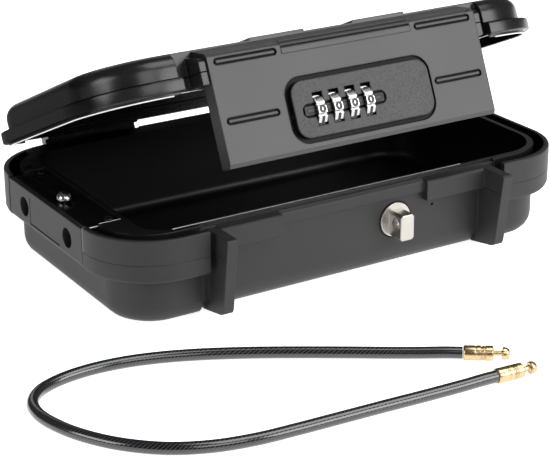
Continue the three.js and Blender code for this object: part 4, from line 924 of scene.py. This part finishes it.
class SAFE_OT_anchor(Operator):
    """Dresses the cable anchor: block, cover, sliding plate, the polished knob and pale pieces as painted highlights.
    """

    bl_idname = "safe.anchor"
    bl_label = "Cable anchor"

    def execute(self, context):
        dress_node("cable_anchor_block", "root", "block_plastic")
        dress_node("anchor_cover", "root", "black_plastic")
        paint_node("cable_lock_slide", "steel")
        self.add_light_edges()
        self.add_knob()
        return {"FINISHED"}

    def add_light_edges(self):
        """The painted highlight along the front of the anchor, as pale boxes: low on the case's wall, higher beside
        the cover.
        """
        low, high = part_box("anchor_cover")
        front = low.y - 0.05 * MM
        lines = (((low.x - 1.4 * MM, front, high.z - 0.25 * MM), (ANCHOR_WALL, front + 0.4 * MM, high.z + 0.12 * MM)),
                 ((ANCHOR_WALL, ANCHOR_FRONT - 0.5 * MM, RIM_EDGE),
                  (high.x, ANCHOR_FRONT - 0.15 * MM, RIM_TOP + 0.05 * MM)))
        for index, corners in enumerate(lines):
            line = add_box(*corners)
            apply_modifier(line, "BEVEL", width=0.08 * MM, segments=2)
            finish_piece(line, f"anchor_light_edge_{index + 1}", "root", "painted_highlight", 50)

    def add_knob(self):
        """The knob with its round top, which takes the place of the solid."""
        low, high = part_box("cable_lock_knob")
        radius = (high.x - low.x) / 2
        base = high.z - radius
        shaft_radius, shaft_top = 1.1 * MM, base - 0.5 * MM
        steps = 14
        angles = [step * math.pi / 2 / steps for step in range(steps)]
        dome = [(radius * math.cos(angle), base + radius * math.sin(angle)) for angle in angles]
        profile = [(0, low.z), (shaft_radius, low.z), (shaft_radius, shaft_top), (radius * 0.88, shaft_top),
                   (radius * 0.97, base - 0.35 * MM), *dome, (0, high.z)]
        knob = turned(profile, 56)
        knob.location = ((low.x + high.x) / 2, (low.y + high.y) / 2, 0)
        apply_place(knob)
        finish_piece(knob, "cable_lock_knob_polished", "cable_lock", "chrome", 40)
        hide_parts("cable_lock_knob")


class SAFE_OT_stud(Operator):
    """Dresses the strike stud with its washer and nut."""

    bl_idname = "safe.stud"
    bl_label = "Strike stud"

    def execute(self, context):
        dress_node("strike_stud", "root", "nickel", 0.35 * MM)
        dress_node("strike_washer", "root", "steel", 0.15 * MM)
        dress_node("strike_nut", "root", "steel", 0.3 * MM)
        return {"FINISHED"}


class SAFE_OT_lid(Operator):
    """Dresses the lid, and adds pale pieces as painted highlights under its flange and beside the lock cover."""

    bl_idname = "safe.lid"
    bl_label = "Lid"

    def execute(self, context):
        dress_node("lid_shell", "lid", "lid_plastic")
        for side in ("left", "right"):
            paint_node(f"hinge_pin_{side}", "steel")

        # A pale bead under the flange: a painted highlight
        lip = bead(LID_HALF_LENGTH - LIP_INSET, LID_HALF_DEPTH - LIP_INSET, LID_CORNER - LIP_INSET, LIP_HEIGHT,
                   LIP_THICKNESS, along_lip)
        open_with_lid(lip)
        finish_piece(lip, "lid_light_edge", "lid", "painted_highlight", 50)

        # Pale strips beside the lock cover: painted highlights
        low, high = FLANGE_BOTTOM - 0.3 * MM, FLANGE_BOTTOM + 0.1 * MM
        inner, outer = COVER_HALF_WIDTH - MM, NOTCH_HALF_WIDTH + MM / 2
        for side, start, end in (("left", -outer, -inner), ("right", inner, outer)):
            strip = add_box((start, NOTCH_LINE, low), (end, NOTCH_LINE + 0.6 * MM, high))
            apply_modifier(strip, "BEVEL", width=0.12 * MM, segments=2)
            open_with_lid(strip)
            finish_piece(strip, f"lid_light_edge_{side}", "lid", "painted_highlight", 50)
        return {"FINISHED"}


class SAFE_OT_lock_cover(Operator):
    """Dresses the lock cover and the dial panel, with the raised middle of the sunk stadium."""

    bl_idname = "safe.lock_cover"
    bl_label = "Lock cover"

    def execute(self, context):
        dress_node("lock_cover", "lid", "cover_plastic")
        dress_node("dial_panel", "lid", "panel_plastic")
        half = STADIUM_HEIGHT / 2 - STADIUM_MARGIN
        core = rounded_plate((STADIUM_LEFT + STADIUM_MARGIN, PANEL_FRONT + 0.1 * MM, STADIUM_MIDDLE - half),
                             (STADIUM_RIGHT - STADIUM_MARGIN, STADIUM_FLOOR + 0.3 * MM, STADIUM_MIDDLE + half),
                             half * 0.98, 0.25 * MM)
        for place in DIAL_PLACES:
            cut_box(core, (place - WINDOW_HALF_WIDTH, PANEL_FRONT - MM, STADIUM_MIDDLE - STADIUM_HEIGHT),
                    (place + WINDOW_HALF_WIDTH, STADIUM_FLOOR + MM, STADIUM_MIDDLE + STADIUM_HEIGHT))
        open_with_lid(core)
        finish_piece(core, "dial_stadium", "lid", "panel_plastic")
        return {"FINISHED"}


class SAFE_OT_dials(Operator):
    """Dresses the four dial wheels and puts the ten digits on each."""

    bl_idname = "safe.dials"
    bl_label = "Dials"

    def execute(self, context):
        for index in range(len(DIAL_PLACES)):
            dress_node(f"dial_wheel_{index + 1}", f"dial_{index + 1}", "chrome", 0.3 * MM)
            paint_node(f"dial_sleeve_{index + 1}", "steel")
        first = self.digit_ring()
        for index, place in enumerate(DIAL_PLACES):
            ring = bpy.data.objects.new("digits", first.data.copy())
            context.scene.collection.objects.link(ring)
            ring.location = (place, DIAL_AXIS_Y, DIAL_AXIS_Z)
            apply_place(ring)
            open_with_lid(ring)
            finish_piece(ring, f"dial_digits_{index + 1}", f"dial_{index + 1}", "digit_black")
        bpy.data.objects.remove(first)
        return {"FINISHED"}

    def digit_ring(self):
        """The ten digits round a wheel at the origin, each on its own flat."""
        digits = [self.digit(number) for number in range(DIGITS)]
        deselect()
        for digit in digits:
            digit.select_set(True)
        bpy.context.view_layer.objects.active = digits[0]
        bpy.ops.object.join()
        return bpy.context.object

    def digit(self, number):
        """One digit, laid on its flat of a wheel at the origin."""
        deselect()
        bpy.ops.object.text_add(location=(0, 0, 0))
        text = bpy.context.object
        text.data.body = str(number)
        text.data.size = DIGIT_SIZE
        text.data.align_x = "CENTER"
        text.data.align_y = "CENTER"
        text.data.extrude = DIGIT_DEPTH
        text.data.offset = DIGIT_BOLDNESS
        text.data.resolution_u = 3
        bpy.ops.object.convert(target="MESH")
        digit = bpy.context.object
        upright = Matrix.Rotation(math.pi / 2, 4, "X") @ Matrix.Diagonal((DIGIT_WIDENING, 1, 1, 1))
        on_flat = Matrix.Translation((0, -DIGIT_FLAT - DIGIT_DEPTH, 0)) @ upright
        digit.matrix_world = Matrix.Rotation(number * 2 * math.pi / DIGITS, 4, "X") @ on_flat
        apply_place(digit)
        return digit


class SAFE_OT_mechanism(Operator):
    """Dresses the lock frame, the bolt and the springs behind the lock cover."""

    bl_idname = "safe.mechanism"
    bl_label = "Lock mechanism"

    def execute(self, context):
        dress_node("lock_frame", "lid", "black_plastic")
        dress_node("latch_bolt", "bolt", "steel", 0.2 * MM)
        spring = dress_node("bolt_spring", None, "spring_steel", 0, 60)
        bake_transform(spring)
        paint_node("detent_spring", "spring_steel")
        return {"FINISHED"}


class SAFE_OT_screws(Operator):
    """Models one cross-headed screw of each kind and puts a copy in the place of every small screw."""

    bl_idname = "safe.screws"
    bl_label = "Screws"

    def execute(self, context):
        up = Vector((0, 0, 1))
        inward = open_lid_place().to_3x3() @ Vector((0, 1, 0))
        kinds = (("anchor_cover_screw", 2, "root", up, 2.1, "blackened"),
                 ("frame_screw", 4, "lid", inward, 2.0, "steel"), ("cover_screw", 4, "lid", inward, 2.0, "steel"))
        for kind, count, body, way, head_radius, finish in kinds:
            nodes = [f"{kind}_{index + 1}" for index in range(count)]
            low, high = self.reach(nodes[0], way)
            first = self.screw(high - low, head_radius * MM)
            for node in nodes:
                screw = bpy.data.objects.new(f"{node}_cross", first.data.copy())
                context.scene.collection.objects.link(screw)
                stand_at(screw, self.foot(node, way), way)
                finish_piece(screw, f"{node}_cross", body, finish, 35)
                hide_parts(node)
            bpy.data.objects.remove(first)
        return {"FINISHED"}

    def reach(self, node, way):
        """Where a screw's solid starts and ends along the direction that its head faces."""
        heights = [vert.co.dot(way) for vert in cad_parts[node].data.vertices]
        return min(heights), max(heights)

    def foot(self, node, way):
        """The middle of the shaft's end of a screw's solid."""
        points = [vert.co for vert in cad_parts[node].data.vertices]
        middle = sum(points, Vector()) / len(points)
        return middle + way * (self.reach(node, way)[0] - middle.dot(way))

    def screw(self, length, head_radius):
        """A cross-headed screw that stands on the Z axis."""
        shaft_radius = head_radius * 0.46
        head = length - SCREW_HEAD
        profile = [(0, 0), (shaft_radius * 0.5, 0), (shaft_radius, shaft_radius), (shaft_radius, head),
                   (head_radius, head), (head_radius, length - SCREW_HEAD * 0.55),
                   (head_radius * 0.86, length - SCREW_HEAD * 0.2), (head_radius * 0.55, length), (0, length)]
        screw = turned(profile, 28)
        for share_x, share_y in ((CROSS_REACH, CROSS_HALF_WIDTH), (CROSS_HALF_WIDTH, CROSS_REACH)):
            reach_x, reach_y = share_x * head_radius, share_y * head_radius
            cut_box(screw, (-reach_x, -reach_y, length - SCREW_HEAD * 0.6), (reach_x, reach_y, length + SCREW_HEAD))
        return screw


class SAFE_PT_panel(Panel):
    """Lists the pieces of the safe."""

    bl_idname = "SAFE_PT_panel"
    bl_label = "Car Safe"
    bl_space_type = "VIEW_3D"
    bl_region_type = "UI"
    bl_category = "Car Safe"

    def draw(self, context):
        layout = self.layout
        for settings in (context.scene.safe_studio, context.scene.safe_finish, context.scene.safe_cable):
            box = layout.box()
            for name in settings.__annotations__:
                box.prop(settings, name)
        for operator in OPERATORS:
            layout.operator(operator.bl_idname)


OPERATORS = (
    SAFE_OT_studio,
    SAFE_OT_cable,
    SAFE_OT_case,
    SAFE_OT_anchor,
    SAFE_OT_stud,
    SAFE_OT_lid,
    SAFE_OT_lock_cover,
    SAFE_OT_dials,
    SAFE_OT_mechanism,
    SAFE_OT_screws,
)
CLASSES = (StudioSettings, FinishSettings, CableSettings, *OPERATORS, SAFE_PT_panel)


def register():
    for cls in CLASSES:
        bpy.utils.register_class(cls)
    bpy.types.Scene.safe_studio = PointerProperty(type=StudioSettings)
    bpy.types.Scene.safe_finish = PointerProperty(type=FinishSettings)
    bpy.types.Scene.safe_cable = PointerProperty(type=CableSettings)


def unregister():
    del bpy.types.Scene.safe_cable
    del bpy.types.Scene.safe_finish
    del bpy.types.Scene.safe_studio
    for cls in reversed(CLASSES):
        bpy.utils.unregister_class(cls)


def main():
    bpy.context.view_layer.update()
    register()
    bpy.ops.safe.studio()
    bpy.ops.safe.cable()
    bpy.ops.safe.case()
    bpy.ops.safe.anchor()
    bpy.ops.safe.stud()
    bpy.ops.safe.lid()
    bpy.ops.safe.lock_cover()
    bpy.ops.safe.dials()
    bpy.ops.safe.mechanism()
    bpy.ops.safe.screws()


if __name__ == "__main__":
    main()
